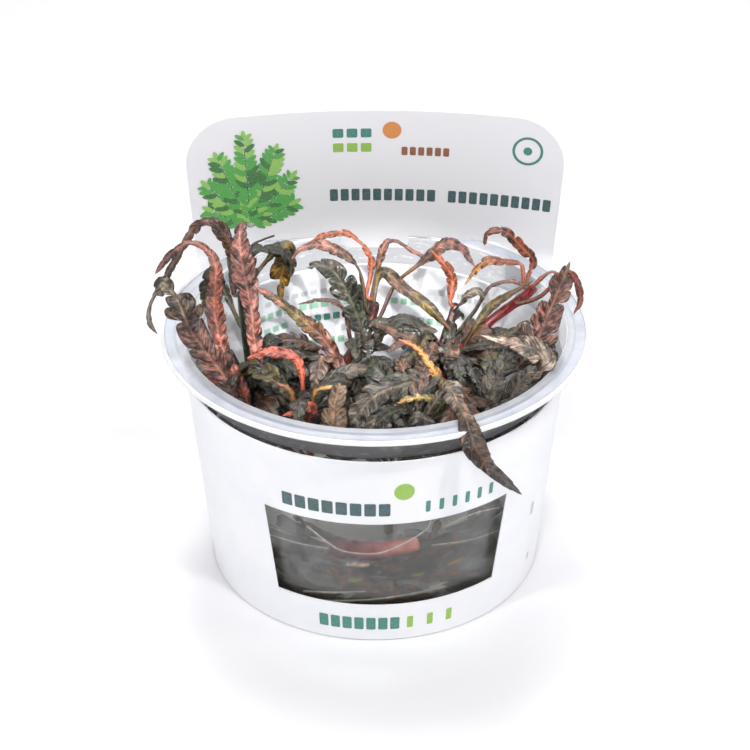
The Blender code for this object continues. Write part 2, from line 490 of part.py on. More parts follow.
# Leaves: name, colour, width, petiole share, facing, the stem and the height
# where the leaf grows out of it, and the rest of the route to the tip
LEAVES = (
    ("left_arching_leaf", BROWN, 3.6, 0.0, FACING_UP, "left_stem", 68.0, [
        (-31, 0, 76), (-33, 1, 81.5), (-36, 2, 83.5), (-39.5, 2, 81.5), (-43, 1, 75.5),
        (-47, 0, 69), (-49.5, -1, 64.5), (-50, -1, 60), (-48.5, -1, 57)]),
    ("left_long_pink_leaf", PINK, 3.8, 0.1, FACING_VIEW, "left_stem", 41.0, [
        (-27.5, -17.5, 49), (-29, -17, 53.5), (-32, -15, 59), (-34, -12, 65), (-34.5, -10, 71),
        (-34, -8, 77.5), (-36, -6, 81), (-40, -5, 82), (-44, -5, 79), (-47.5, -5, 74.5)]),
    ("left_upright_leaf", PINK, 4.4, 0.15, FACING_VIEW, "left_stem", 37.0, [
        (-24.5, -15.5, 44), (-25.5, -14.5, 50), (-25.5, -13, 55.5), (-26, -12, 60.5), (-26.5, -10, 67),
        (-27.5, -8, 72.5), (-28.5, -6, 78), (-29, -3, 81.5), (-29, 2, 83), (-29, 10, 78)]),
    ("left_grey_leaf", GREY_BROWN, 8.0, 0.3, FACING_VIEW, "left_stem", 38.0, [
        (-29, -18, 48), (-31, -19, 53), (-32.5, -18.5, 57), (-36, -17.5, 62), (-39.5, -16, 67.5),
        (-42, -14, 73), (-45, -12, 76), (-46, -12, 73)]),
    ("left_back_leaf", DARK_GREEN, 3.4, 0.2, FACING_VIEW, "left_stem", 61.0, [
        (-33.5, 3, 66), (-36, 6, 68), (-38, 8, 62), (-38, 9, 55)]),
    ("left_low_red_leaf", CORAL, 3.4, 0.25, FACING_VIEW, "left_stem", 43.5, [
        (-31, -16.5, 50), (-34, -17.5, 54), (-36, -16, 58), (-38.5, -13.5, 62), (-40, -12.5, 64.5)]),
    ("left_dark_leaf", DARK_GREEN, 4.4, 0.1, FACING_UP, "left_stem", 66.0, [
        (-27.5, 4, 74), (-24, 7, 74), (-21, 9, 72.5), (-19, 10, 69), (-19, 10, 65.5)]),
    ("left_curled_leaf", DARK_GREEN, 0.9, 0.1, FACING_UP, "left_stem", 68.6, [
        (-28, 1, 74.5), (-27, 3, 77), (-24.5, 4, 78), (-22, 5, 78.5)]),
    ("left_hanging_leaf", OLIVE, 5.0, 0.45, FACING_VIEW, "left_stem", 63.0, [
        (-27, 6, 67), (-22.5, 11, 71), (-19.5, 13.2, 71), (-20.5, 14, 66.5), (-21.5, 14, 61.5),
        (-21.5, 13.5, 57)]),
    ("long_red_leaf", ORANGE, 3.6, 0.2, FACING_VIEW, "middle_stem", 41.0, [
        (-6.5, -5, 46), (-7, -8, 50), (-8.5, -7, 54), (-11.5, -6, 59), (-16.5, -5, 63.5),
        (-21, -4, 67), (-26, -3, 70)]),
    ("coral_leaf", CORAL, 2.8, 0.35, FACING_UP, "coral_stem", 49.5, [
        (-15.5, -22, 58.5), (-16.5, -22, 63), (-19.5, -22, 65), (-23.5, -22, 65), (-27, -22, 63.5)]),
    ("yellow_leaf_left", YELLOW, 1.6, 0.1, FACING_VIEW, "coral_stem", 48.0, [
        (-18, -24, 56.5), (-21, -23, 58)]),
    ("yellow_leaf_right", YELLOW, 1.6, 0.1, FACING_VIEW, "coral_stem", 47.5, [
        (-12.5, -24, 56.5), (-7.5, -24, 57.5)]),
    ("coral_low_leaf", CORAL, 2.8, 0.2, FACING_VIEW, "coral_stem", 46.0, [
        (-13.5, -28, 54.5), (-14.5, -30, 56), (-16.5, -30.5, 55.5), (-19.5, -30.5, 54.5)]),
    ("orange_arching_leaf", ORANGE, 2.6, 0.2, FACING_UP, "middle_stem", 58.6, [
        (-1, 12, 64.5), (-1, 13, 69), (-4.5, 14, 73), (-8, 14, 74.5), (-12, 13, 74), (-15, 13, 72)]),
    ("grey_arching_leaf", GREY_BROWN, 2.8, 0.3, FACING_UP, "middle_stem", 56.5, [
        (-3, 8.5, 65.5), (-4.5, 8, 70), (-8, 8, 73), (-12.5, 8, 74.5), (-16.5, 8, 73.5), (-18.5, 8, 71)]),
    ("dark_arching_leaf", BROWN, 2.4, 0.35, FACING_UP, "middle_stem", 57.0, [
        (1, 15, 66.5), (2.5, 17, 70), (5, 18, 70), (8.5, 18, 67.5), (12.5, 18, 65.5)]),
    ("lance_leaf", OLIVE, 4.0, 0.2, FACING_VIEW, "middle_stem", 58.0, [
        (0.8, 9, 66), (2.5, 8, 67.5), (6.5, 6, 64.5), (12, 4, 61), (17, 2, 56)]),
    ("brown_arching_leaf", BROWN, 3.8, 0.45, FACING_UP, "middle_stem", 55.5, [
        (4.5, 14, 61), (8.5, 15, 64.5), (12, 16, 67), (16, 16, 70.5), (19.5, 16, 69.5), (23, 16.5, 64)]),
    ("glossy_dark_leaf", DARK_GREEN, 6.4, 0.35, FACING_VIEW, "middle_stem", 39.0, [
        (-3.5, -1, 45), (-1.5, -2, 49), (-2, 0, 54), (-4, 2, 60), (-6.5, 3, 66), (-9, 4, 70),
        (-12, 4, 71.5), (-15, 4, 71)]),
    ("maroon_side_leaf", MAROON, 2.4, 0.2, FACING_UP, "middle_stem", 50.0, [
        (-6.5, 5, 58), (-8, 4.5, 61.5), (-12.5, 4.5, 62.5), (-17, 3.5, 62)]),
    ("olive_back_leaf", OLIVE, 4.0, 0.3, FACING_VIEW, "middle_stem", 40.0, [
        (-4, 14, 44), (-2.5, 17.5, 49), (-3, 19, 55), (-4.5, 20, 58)]),
    ("dark_bent_leaf", DARK_GREEN, 4.4, 0.15, FACING_UP, "middle_stem", 46.5, [
        (-1.5, 2, 51), (2, 2, 56.5), (6, 3, 58.5), (10, 3, 57), (13, 1, 53)]),
    ("yellow_coral_leaf", YELLOW, 2.4, 0.2, FACING_VIEW, "front_stem", 46.0, [
        (14, -23.5, 47), (16.5, -22, 50.5), (15, -20, 55), (12, -18, 59), (9, -16, 62.5), (5, -15, 64)]),
    ("front_grey_leaf", GREY_GREEN, 3.4, 0.45, FACING_VIEW, "middle_stem", 37.0, [
        (-9, -9, 46), (-10.5, -15, 52), (-8, -16, 55), (-3, -14.5, 56), (2, -13, 53.5)]),
    ("front_broad_leaf", GREY_GREEN, 7.6, 0.2, FACING_VIEW, "front_stem", 49.5, [
        (9, -20.5, 56), (4.5, -22, 56.5), (-0.5, -25, 55.5), (-5, -28, 51)]),
    ("front_gold_leaf", OLIVE, 6.4, 0.45, FACING_VIEW, "front_stem", 41.0, [
        (-2, -29, 43), (-8, -32, 46.5), (-8.7, -31, 51), (-8.5, -28, 55), (-7.5, -24, 58.5)]),
    ("dark_leaf_upper", DARK_GREEN, 4.0, 0.45, FACING_VIEW, "right_stem", 41.5, [
        (7, -7, 46), (5, -9.5, 51), (10, -7.5, 55.5), (15, -6, 56)]),
    ("dark_leaf_lower", DARK_GREEN, 4.0, 0.5, FACING_VIEW, "right_stem", 38.0, [
        (8, -12, 44), (6, -15, 50), (10, -13, 54), (14, -11, 55)]),
    ("front_yellow_leaf", YELLOW, 2.2, 0.15, FACING_VIEW, "front_stem", 50.0, [
        (14, -26.5, 55), (10.5, -27.5, 57), (7, -28, 57), (4, -29, 56)]),
    ("rim_leaf_left", GREY_GREEN, 4.4, 0.4, FACING_UP, "front_stem", 44.0, [
        (0.5, -31, 49.5), (-2.5, -35, 54), (0, -35.5, 56.5), (3.5, -36, 55.5)]),
    ("rim_leaf_right", GREY_GREEN, 4.4, 0.3, FACING_UP, "front_stem", 47.5, [
        (6.5, -33, 53.5), (8.5, -34, 56.5), (12.5, -34, 55)]),
    ("small_green_leaf", YELLOW, 2.8, 0.45, FACING_VIEW, "front_stem", 48.5, [
        (16.5, -29, 53), (18, -28.5, 57), (16.5, -27, 60.5)]),
    ("orange_lobed_leaf", ORANGE, 2.8, 0.1, FACING_VIEW, "right_dark_stem", 58.0, [
        (17.5, 11, 64), (15.5, 11, 68), (12.5, 11, 71.5)]),
    ("silver_drooping_leaf", GREY_GREEN, 3.2, 0.1, FACING_UP, "right_dark_stem", 57.0, [
        (20, 5, 63), (23, 5, 64.5), (24.5, 5, 62.5)]),
    ("lilac_arching_leaf", GREY_BROWN, 2.4, 0.45, FACING_UP, "right_dark_stem", 52.0, [
        (22.5, 9, 57), (25, 9, 62), (27, 9, 64), (30, 8.5, 65), (32, 8.2, 64.8), (33.5, 8, 64)]),
    ("orange_bridge_leaf", ORANGE, 2.6, 0.25, FACING_UP, "right_stem", 63.0, [
        (33, 12.5, 67), (29.5, 13, 67.5), (26, 13.5, 67.5), (23.5, 13.5, 66), (20.5, 13.5, 61.5)]),
    ("right_tall_leaf", ORANGE, 3.0, 0.1, FACING_VIEW, "right_stem", 63.6, [
        (35.5, 10.5, 69), (33.5, 11, 71.5), (31.5, 11.5, 73.5), (29.5, 12, 75.5), (27, 12, 76),
        (25, 12, 75), (24.5, 12, 72)]),
    ("right_arching_leaf", ORANGE, 2.0, 0.1, FACING_UP, "right_stem", 63.2, [
        (38, 7, 67.5), (39.5, 6.5, 68.5), (42, 5.5, 68)]),
    ("right_broad_leaf", PALE_PINK, 8.0, 0.4, FACING_VIEW, "right_stem", 45.0, [
        (24, -8, 48), (31, -9, 53), (35, -8, 58.5), (38, -5.5, 65), (40.5, -3, 70.5), (42.5, -1, 75.5)]),
    ("right_small_red_leaf", CORAL, 1.8, 0.35, FACING_VIEW, "right_stem", 60.5, [
        (37, 3, 64.5), (42, 3.5, 70), (44.5, 2.5, 68.5), (45.5, 1.5, 64), (44.2, 1.5, 60.5)]),
    ("pale_lying_leaf", PALE_PINK, 4.8, 0.25, FACING_UP, "right_front_stem", 48.5, [
        (32, -20, 56), (36, -19.5, 60.5), (34.5, -19, 63.5), (31, -18, 64.5), (26.5, -17, 65),
        (22.5, -16, 65.5)]),
    ("right_olive_leaf", OLIVE, 2.8, 0.1, FACING_VIEW, "right_stem", 52.0, [
        (22, -2, 57.5), (25.5, 0, 61.5), (29.5, 1, 64), (33, 2.5, 65.5), (35, 3.5, 66.5)]),
    ("right_under_leaf", OLIVE, 3.8, 0.15, FACING_VIEW, "right_stem", 49.0, [
        (22, -5, 53), (25.5, -5, 57), (30, -3.5, 61.5), (34, -2, 63)]),
    ("silver_leaf_tall", GREY_GREEN, 6.0, 0.1, FACING_VIEW, "right_front_stem", 46.5, [
        (24, -21.5, 53), (26.5, -19, 58), (29, -17, 61), (31, -15, 62.5)]),
    ("silver_leaf_low", GREY_GREEN, 4.4, 0.15, FACING_VIEW, "right_front_stem", 45.0, [
        (28.5, -25, 54.5), (31, -24, 59), (34, -22.5, 62)]),
    ("right_back_leaf", GREY_GREEN, 4.4, 0.5, FACING_VIEW, "right_front_stem", 43.0, [
        (33, -15, 49), (37.5, -12.5, 53.5), (38.5, -10, 57.5), (37.5, -9, 60)]),
    ("right_low_leaf", GREY_BROWN, 3.6, 0.3, FACING_VIEW, "right_front_stem", 40.0, [
        (23, -27, 49), (24.5, -28.5, 53.5), (28, -28.5, 56), (31.5, -26.5, 56.5)]),
    ("middle_filling_leaf", BROWN, 3.4, 0.3, FACING_UP, "right_stem", 47.5, [
        (18.5, -6.5, 53), (22, -8.5, 54.5), (26.5, -9, 52.5)]),
    ("overhanging_leaf", GREY_BROWN, 4.6, 0.2, FACING_VIEW, "front_stem", 50.6, [
        (14.5, -30, 60.5), (16, -33, 62), (17, -37, 61.7), (18.5, -41, 60.7), (20, -45.5, 57.5),
        (22.5, -46.5, 53.5), (26, -45.5, 49), (30.5, -43.5, 43.5)]),
)


def main():
    """Build every piece of the cup."""
    clear_scene()
    scene = bpy.context.scene
    collection = bpy.data.collections.new("tissue_culture_cup")
    cutters = bpy.data.collections.new("cutters")
    scene.collection.children.link(collection)
    scene.collection.children.link(cutters)
    finishes = {}
    make_cup(collection)
    make_sleeve(collection, cutters)
    make_gel(collection, cutters, [(name, radius, route) for name, colour, radius, route in STEMS])
    for name, colour, radius, route in STEMS:
        make_stem(name, colour, radius, route, collection)
    for name, colour, width, petiole, facing, stem, height, route in LEAVES:
        make_leaf(name, colour, width, petiole, facing, stem, height, route, collection, finishes)


main()
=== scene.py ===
"""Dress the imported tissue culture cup: clear cup, white card, gel and living plants.

The model is in metres. Front is -Y, up is +Z and the cup's axis is Z. Sizes here are
millimetres, and are turned into metres where a mesh is made.
"""

import math

import bmesh
import bpy
import numpy as np
from mathutils import Matrix, Vector, noise


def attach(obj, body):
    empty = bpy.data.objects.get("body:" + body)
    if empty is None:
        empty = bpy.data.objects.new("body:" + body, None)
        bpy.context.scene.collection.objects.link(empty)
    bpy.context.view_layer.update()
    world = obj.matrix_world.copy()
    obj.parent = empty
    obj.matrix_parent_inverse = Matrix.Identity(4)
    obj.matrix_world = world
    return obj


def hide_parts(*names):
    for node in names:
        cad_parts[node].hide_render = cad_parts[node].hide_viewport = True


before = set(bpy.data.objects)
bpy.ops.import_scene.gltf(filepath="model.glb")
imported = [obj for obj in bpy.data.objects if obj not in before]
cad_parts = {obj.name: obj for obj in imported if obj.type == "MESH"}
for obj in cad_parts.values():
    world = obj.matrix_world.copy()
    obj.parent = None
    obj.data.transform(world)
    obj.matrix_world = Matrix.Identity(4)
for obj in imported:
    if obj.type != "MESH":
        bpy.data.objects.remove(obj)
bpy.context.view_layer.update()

MM = 0.001

# Photo: the camera's place, aim and focal length
CAMERA_PLACE = (0.0, -380.48, 283.30)
CAMERA_AIM = (0.0, 0.0, 45.55)
SENSOR = 36.0
LENS = 95.33

# Cup
CUP_BASE_RADIUS = 37.5
TAPER = 0.085
CUP_WALL = 0.7
CUP_FLOOR = 0.9
SHOULDER_HEIGHT = 52.0
MOUTH_RADIUS = 42.5
FLANGE_RADIUS = 47.5
FLANGE_TOP = 58.8
FLANGE_THICKNESS = 0.9
BEAD_HEIGHT = 0.45
BEAD_WIDTH = 1.6
FLANGE_RIM = (42.75, 46.7)
LIP_HEIGHT = 0.3
LIP_WIDTHS = (1.0, 0.6)
THROAT = SHOULDER_HEIGHT + 1.5
CUP_STEPS = 192

# Gel
GEL_TOP = 25.0
MENISCUS = 1.2
MENISCUS_WIDTH = 3.0
WALL_FILM = 0.06
CLIMB_STEPS = 6
GEL_STEPS = 96

# Card sleeve
CARD = 0.4
SLEEVE_BASE_RADIUS = 38.0
SLEEVE_FOOT = 0.3
SLEEVE_TOP = 50.7
WRAP_RADIUS = SLEEVE_BASE_RADIUS + TAPER * SLEEVE_TOP
TAG_CURVE = 138.0
TAG_DEPTH = 40.4
TAG_LEAN = 0.05
TAG_FOOT = 59.7
TAG_TOP = 91.6
TAG_HALF_WIDTH = 43.0
TAG_FLARE = 0.07
TAG_CORNER = 11.5
TAG_FLAT = TAG_HALF_WIDTH - TAG_CORNER
SLOT_HALF_LENGTH = 31.0
SLOT_CORNER = 3.0
TONGUE_HALF_WIDTH = 8.2
TONGUE_FOOT = 56.6
SLOT_BEND = (52.0, 56.0)
SIDE_BEND = (46.0, 59.0)
SLOT_EASE = (4.0, 3.0)
TAG_FADE = (1.0, 20.0)
WINDOW_AZIMUTH = 4.3
WINDOW_TOP = 33.9
WINDOW_FOOT = 10.5
WINDOW_TOP_HALF_WIDTH = 26.2
WINDOW_FOOT_HALF_WIDTH = 23.7
CARD_STEP = 1.1

# Leaves
PETIOLE_WIDTH = 1.0
LEAF_THICKNESS = 0.42
CAD_LEAF_THICKNESS = 0.7
GAP = 0.3
BLADE_FOOT = 0.10
BLADE_SPAN = 0.86
BLADE_FULLNESS = 0.75
FOOT_LEAN = 0.5
RIB_PITCH = 1.15
RIB_SLANT = 0.75
CREASE_WIDTH = 0.24
SIDE_VEIN_WIDTH = 0.16
PLAIN_EASE = 0.12
# Painted shade and painted light: how strongly a leaf's tint darkens in the relief's hollows and lightens on
# its bumps
PAINTED_RELIEF_SHADE = 1.35
JOINT_PITCH = 11.0
# Painted depth shade: leaves above the gel darken from the upper height down to the lower, where only this
# share of their tint is left
PAINTED_DEPTH_SHADE = (46.0, 63.0)
PAINTED_DEPTH_SHADE_SHARE = 0.06
VIEW = (0.0, -0.7, 0.7)
UP = (0.0, -0.25, 1.0)

# Undergrowth, sunken leaves and loose bits
UNDERGROWTH_SEED = 11
UNDERGROWTH_COUNT = 21
UNDERGROWTH_HEIGHTS = (30.0, 51.0)
UNDERGROWTH_TOP = 57.0
SUNKEN_SEED = 23
SUNKEN_COUNT = 44
SUNKEN_HEIGHTS = (2.6, 23.5)
SUNKEN_LEAF_SEED = 900
LOOSE_BIT_SEED = 970
CORAL_BIT_SEED = 981
WALL_ARC_RADIUS = 38.0


def linear(red, green, blue):
    """Linear colour of an sRGB one given in 0 to 255."""
    parts = [value / 255 for value in (red, green, blue)]
    return tuple(p / 12.92 if p <= 0.04045 else ((p + 0.055) / 1.055) ** 2.4 for p in parts)


TINTS = {
    "coral": linear(224, 98, 74), "salmon": linear(250, 154, 118), "pink": linear(248, 156, 138),
    "mauve": linear(176, 116, 104), "brown": linear(104, 64, 42), "maroon": linear(76, 30, 28),
    "crimson": linear(140, 20, 28), "grey": linear(60, 58, 46), "silver": linear(116, 108, 92),
    "taupe": linear(112, 84, 64), "olive": linear(90, 80, 22), "gold": linear(160, 116, 38),
    "green": linear(24, 42, 22), "black": linear(12, 15, 8), "orange": linear(178, 92, 56),
    "rust": linear(166, 78, 46), "yellow": linear(184, 136, 62), "lime": linear(120, 124, 46),
    "blush": linear(176, 144, 128), "beige": linear(192, 176, 156),
}


# Mesh and material helpers

def smooth_step(low, high, value):
    """Rise from 0 to 1 between two values."""
    t = np.clip((value - low) / (high - low), 0.0, 1.0)
    return t * t * (3.0 - 2.0 * t)


class Bag:
    """Points, faces and point values, gathered for one mesh."""

    def __init__(self):
        self.points = []
        self.faces = []
        self.values = {}
        self.count = 0

    def add(self, points, faces, **values):
        """Add points in millimetres, faces of their numbers, and values of each point."""
        self.points.append(points)
        self.faces += [tuple(self.count + corner for corner in face) for face in faces]
        for name, data in values.items():
            self.values.setdefault(name, []).append(data)
        self.count += len(points)

    def add_tube(self, rings, **values):
        """Add a closed tube of rings, an array of ring, corner and coordinate."""
        rows, corners = rings.shape[:2]
        faces = []
        for i in range(rows - 1):
            for j in range(corners):
                k = (j + 1) % corners
                faces.append((corners * i + j, corners * (i + 1) + j,
                              corners * (i + 1) + k, corners * i + k))
        faces.append(tuple(range(corners)))
        faces.append(tuple(reversed(range(corners * (rows - 1), corners * rows))))
        flat = {name: data.reshape(rows * corners, -1) for name, data in values.items()}
        self.add(rings.reshape(-1, 3), faces, **flat)

    def add_sheet(self, grid, **values):
        """Add an open sheet, an array of row, column and coordinate."""
        rows, columns = grid.shape[:2]
        faces = [(columns * i + j, columns * i + j + 1, columns * (i + 1) + j + 1, columns * (i + 1) + j)
                 for i in range(rows - 1) for j in range(columns - 1)]
        flat = {name: data.reshape(rows * columns, -1) for name, data in values.items()}
        self.add(grid.reshape(-1, 3), faces, **flat)

    def make(self, name, finish, replaces=()):
        """Make the mesh an object that rides on the root body."""
        mesh = bpy.data.meshes.new(name)
        mesh.from_pydata((np.concatenate(self.points) * MM).tolist(), [], self.faces)
        for key, parts in self.values.items():
            data = np.concatenate(parts).astype(np.float32)
            if data.shape[1] == 3:
                data = np.hstack([data, np.ones((len(data), 1), np.float32)])
                layer = mesh.attributes.new(key, "FLOAT_COLOR", "POINT")
                layer.data.foreach_set("color", data.ravel())
            else:
                layer = mesh.attributes.new(key, "FLOAT", "POINT")
                layer.data.foreach_set("value", data.ravel())
        mesh.shade_smooth()
        mesh.materials.append(finish)
        return place(name, mesh, replaces)


def new_object(name, data):
    """An object in the scene, of a mesh, a lamp or the camera."""
    thing = bpy.data.objects.new(name, data)
    bpy.context.scene.collection.objects.link(thing)
    return thing


def mesh_of(name, made):
    """The mesh of an edited shape, with its faces turned outwards."""
    bmesh.ops.recalc_face_normals(made, faces=made.faces)
    mesh = bpy.data.meshes.new(name)
    made.to_mesh(mesh)
    made.free()
    return mesh


def place(name, mesh, replaces=()):
    """Put a mesh in the scene, on the root body and in place of CAD nodes."""
    thing = new_object(name, mesh)
    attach(thing, "root")
    if replaces:
        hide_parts(*replaces)
    return thing


class Finish:
    """A Principled material that is put together node by node."""

    def __init__(self, name, colour, roughness, **sockets):
        self.material = bpy.data.materials.new(name)
        self.material.use_nodes = True
        self.nodes = self.material.node_tree.nodes
        self.links = self.material.node_tree.links
        self.shader = self.nodes["Principled BSDF"]
        self.shader.inputs["Base Color"].default_value = (*colour, 1.0)
        self.shader.inputs["Roughness"].default_value = roughness
        for socket, value in sockets.items():
            self.shader.inputs[socket.replace("_", " ")].default_value = value
        self.place = self.add("ShaderNodeTexCoord").outputs["Object"]

    def add(self, kind, **settings):
        """Add a node, with its settings and its unlinked inputs by name."""
        node = self.nodes.new(kind)
        for key, value in settings.items():
            if hasattr(node, key):
                setattr(node, key, value)
            else:
                node.inputs[key.replace("_", " ")].default_value = value
        return node

    def wire(self, source, target):
        """Link an output to an input."""
        self.links.new(source, target)
        return target

    def noise(self, size, detail=3.0, roughness=0.6, stretch=None):
        """Noise with features of a size in millimetres."""
        node = self.add("ShaderNodeTexNoise", Scale=1.0 / (size * MM), Detail=detail, Roughness=roughness)
        source = self.place
        if stretch:
            mapping = self.add("ShaderNodeMapping")
            mapping.inputs["Scale"].default_value = stretch
            self.wire(source, mapping.inputs["Vector"])
            source = mapping.outputs["Vector"]
        self.wire(source, node.inputs["Vector"])
        return node.outputs["Fac"]

    def streaks(self, across, along, detail=3.0):
        """Noise drawn out along a leaf's side veins, in millimetres each way."""
        spot = self.add("ShaderNodeCombineXYZ")
        self.wire(self.math("DIVIDE", self.value("vein_u"), across), spot.inputs["X"])
        self.wire(self.math("DIVIDE", self.value("vein_v"), along), spot.inputs["Y"])
        node = self.add("ShaderNodeTexNoise", Scale=1.0, Detail=detail, Roughness=0.65)
        self.wire(spot.outputs["Vector"], node.inputs["Vector"])
        return node.outputs["Fac"]

    def cells(self, size, feature="F1"):
        """Distance pattern of cells of a size in millimetres."""
        node = self.add("ShaderNodeTexVoronoi", feature=feature, Scale=1.0 / (size * MM))
        self.wire(self.place, node.inputs["Vector"])
        return node.outputs["Distance"]

    def value(self, name):
        """A value that the mesh's points carry."""
        node = self.add("ShaderNodeAttribute", attribute_name=name)
        return node.outputs["Fac"]

    def colour(self, name):
        """A colour that the mesh's points carry."""
        node = self.add("ShaderNodeAttribute", attribute_name=name)
        return node.outputs["Color"]

    def range(self, source, low, high, to_low, to_high):
        """Map a value from one range to another."""
        node = self.add("ShaderNodeMapRange")
        for key, number in zip(("From Min", "From Max", "To Min", "To Max"), (low, high, to_low, to_high)):
            node.inputs[key].default_value = number
        self.wire(source, node.inputs["Value"])
        return node.outputs["Result"]

    def math(self, operation, a, b):
        """Combine two values, each an output or a number."""
        node = self.add("ShaderNodeMath", operation=operation)
        for source, socket in zip((a, b), node.inputs):
            if isinstance(source, (int, float)):
                socket.default_value = source
            else:
                self.wire(source, socket)
        return node.outputs["Value"]

    def mix(self, share, a, b, blend="MIX"):
        """Mix two colours, each an output or a linear colour."""
        node = self.add("ShaderNodeMix", data_type="RGBA", blend_type=blend)
        if isinstance(share, (int, float)):
            node.inputs[0].default_value = share
        else:
            self.wire(share, node.inputs[0])
        for source, socket in zip((a, b), (node.inputs[6], node.inputs[7])):
            if isinstance(source, tuple):
                socket.default_value = (*source, 1.0)
            else:
                self.wire(source, socket)
        return node.outputs[2]

    def bump(self, height, distance, strength=1.0, below=None):
        """Bump of a depth in millimetres, on top of another bump."""
        node = self.add("ShaderNodeBump", Distance=distance * MM, Strength=strength)
        self.wire(height, node.inputs["Height"])
        if below is not None:
            self.wire(below, node.inputs["Normal"])
        return node.outputs["Normal"]

    def into(self, **sources):
        """Link outputs to the shader's inputs by name."""
        for socket, source in sources.items():
            self.wire(source, self.shader.inputs[socket.replace("_", " ")])
        return self


# Materials

def plastic_finish():
    """Clear moulded plastic of the thin wall, which lets most light straight through."""
    made = Finish("clear_plastic", linear(252, 253, 254), 0.05, IOR=1.49, Transmission_Weight=1.0, Alpha=0.15)
    made.into(Normal=made.bump(made.noise(9.0, 2.0), 0.10, 0.35),
              Roughness=made.range(made.noise(3.0), 0.3, 0.8, 0.03, 0.10))
    return made.material


def flange_finish():
    """The same plastic where it is thick: milky, with a lilac tone."""
    made = Finish("flange_plastic", linear(226, 231, 245), 0.14, IOR=1.49, Transmission_Weight=0.35,
                  Alpha=0.62)
    cloud = made.range(made.noise(5.0, 3.0), 0.35, 0.7, 0.0, 1.0)
    made.into(Base_Color=made.mix(cloud, linear(222, 227, 241), linear(242, 245, 252)),
              Normal=made.bump(made.noise(7.0, 2.0), 0.08, 0.4),
              Roughness=made.range(made.noise(2.5), 0.3, 0.8, 0.10, 0.22))
    return made.material


def bead_finish():
    """White edges of the flange: painted light, a near-white and nearly opaque colour that stands in for the
    light the clear plastic gathers there.
    """
    made = Finish("bead_plastic", linear(253, 253, 255), 0.16, IOR=1.49, Transmission_Weight=0.15,
                  Coat_Weight=0.5, Coat_Roughness=0.06)
    made.into(Normal=made.bump(made.noise(6.0, 2.0), 0.08, 0.4),
              Roughness=made.range(made.noise(2.5), 0.3, 0.8, 0.12, 0.26))
    return made.material


def shoulder_finish():
    """The hazy shoulder under the flange, with faint whitish smears."""
    made = Finish("shoulder_plastic", linear(150, 152, 158), 0.4, IOR=1.49, Transmission_Weight=0.8,
                  Alpha=0.55)
    smear = made.noise(1.1, 4.0, 0.7, (0.35, 0.35, 1.0))
    share = made.range(smear, 0.56, 0.68, 0.0, 0.9)
    made.into(Base_Color=made.mix(share, linear(150, 152, 158), linear(236, 238, 244)),
              Roughness=made.range(smear, 0.3, 0.7, 0.3, 0.5))
    return made.material


def gel_finish():
    """Clear, faintly cloudy gel with a wet top."""
    made = Finish("gel", linear(247, 244, 234), 0.05, IOR=1.34, Transmission_Weight=1.0, Alpha=0.6)
    made.into(Normal=made.bump(made.noise(6.0, 2.0), 0.25, 0.5),
              Roughness=made.range(made.noise(2.2), 0.35, 0.8, 0.02, 0.14))
    return made.material


def card_finish():
    """White coated card with a faint paper grain."""
    made = Finish("card", linear(246, 247, 251), 0.42, Specular_IOR_Level=0.4, Coat_Weight=0.15,
                  Coat_Roughness=0.25)
    fibre = made.noise(0.35, 4.0, 0.7, (1.0, 1.0, 0.35))
    cloud = made.noise(14.0, 3.0)
    colour = made.mix(made.range(cloud, 0.3, 0.7, 0.0, 1.0), linear(243, 244, 249), linear(250, 250, 253))
    made.into(Base_Color=colour, Normal=made.bump(fibre, 0.02, 0.5),
              Roughness=made.range(fibre, 0.3, 0.7, 0.38, 0.52))
    return made.material


def wet_highlight_finish():
    """The wet edge of the gel and the runs of drops on the wall, in a bright pale colour that is painted
    highlight.
    """
    made = Finish("wet_edge_highlight", linear(246, 242, 232), 0.2, IOR=1.34, Transmission_Weight=0.3)
    made.into(Roughness=made.range(made.noise(1.5), 0.3, 0.7, 0.1, 0.35))
    return made.material


def print_finish():
    """Printing ink on the card, in the colour that its points carry."""
    made = Finish("print_ink", (0.1, 0.1, 0.1), 0.4, Specular_IOR_Level=0.4)
    grain = made.range(made.noise(0.30, 3.0), 0.3, 0.75, 0.0, 0.16)
    made.into(Base_Color=made.mix(grain, made.colour("tint"), linear(240, 240, 240)),
              Normal=made.bump(made.noise(0.35, 4.0), 0.015, 0.4),
              Roughness=made.range(grain, 0.0, 0.16, 0.34, 0.5))
    return made.material


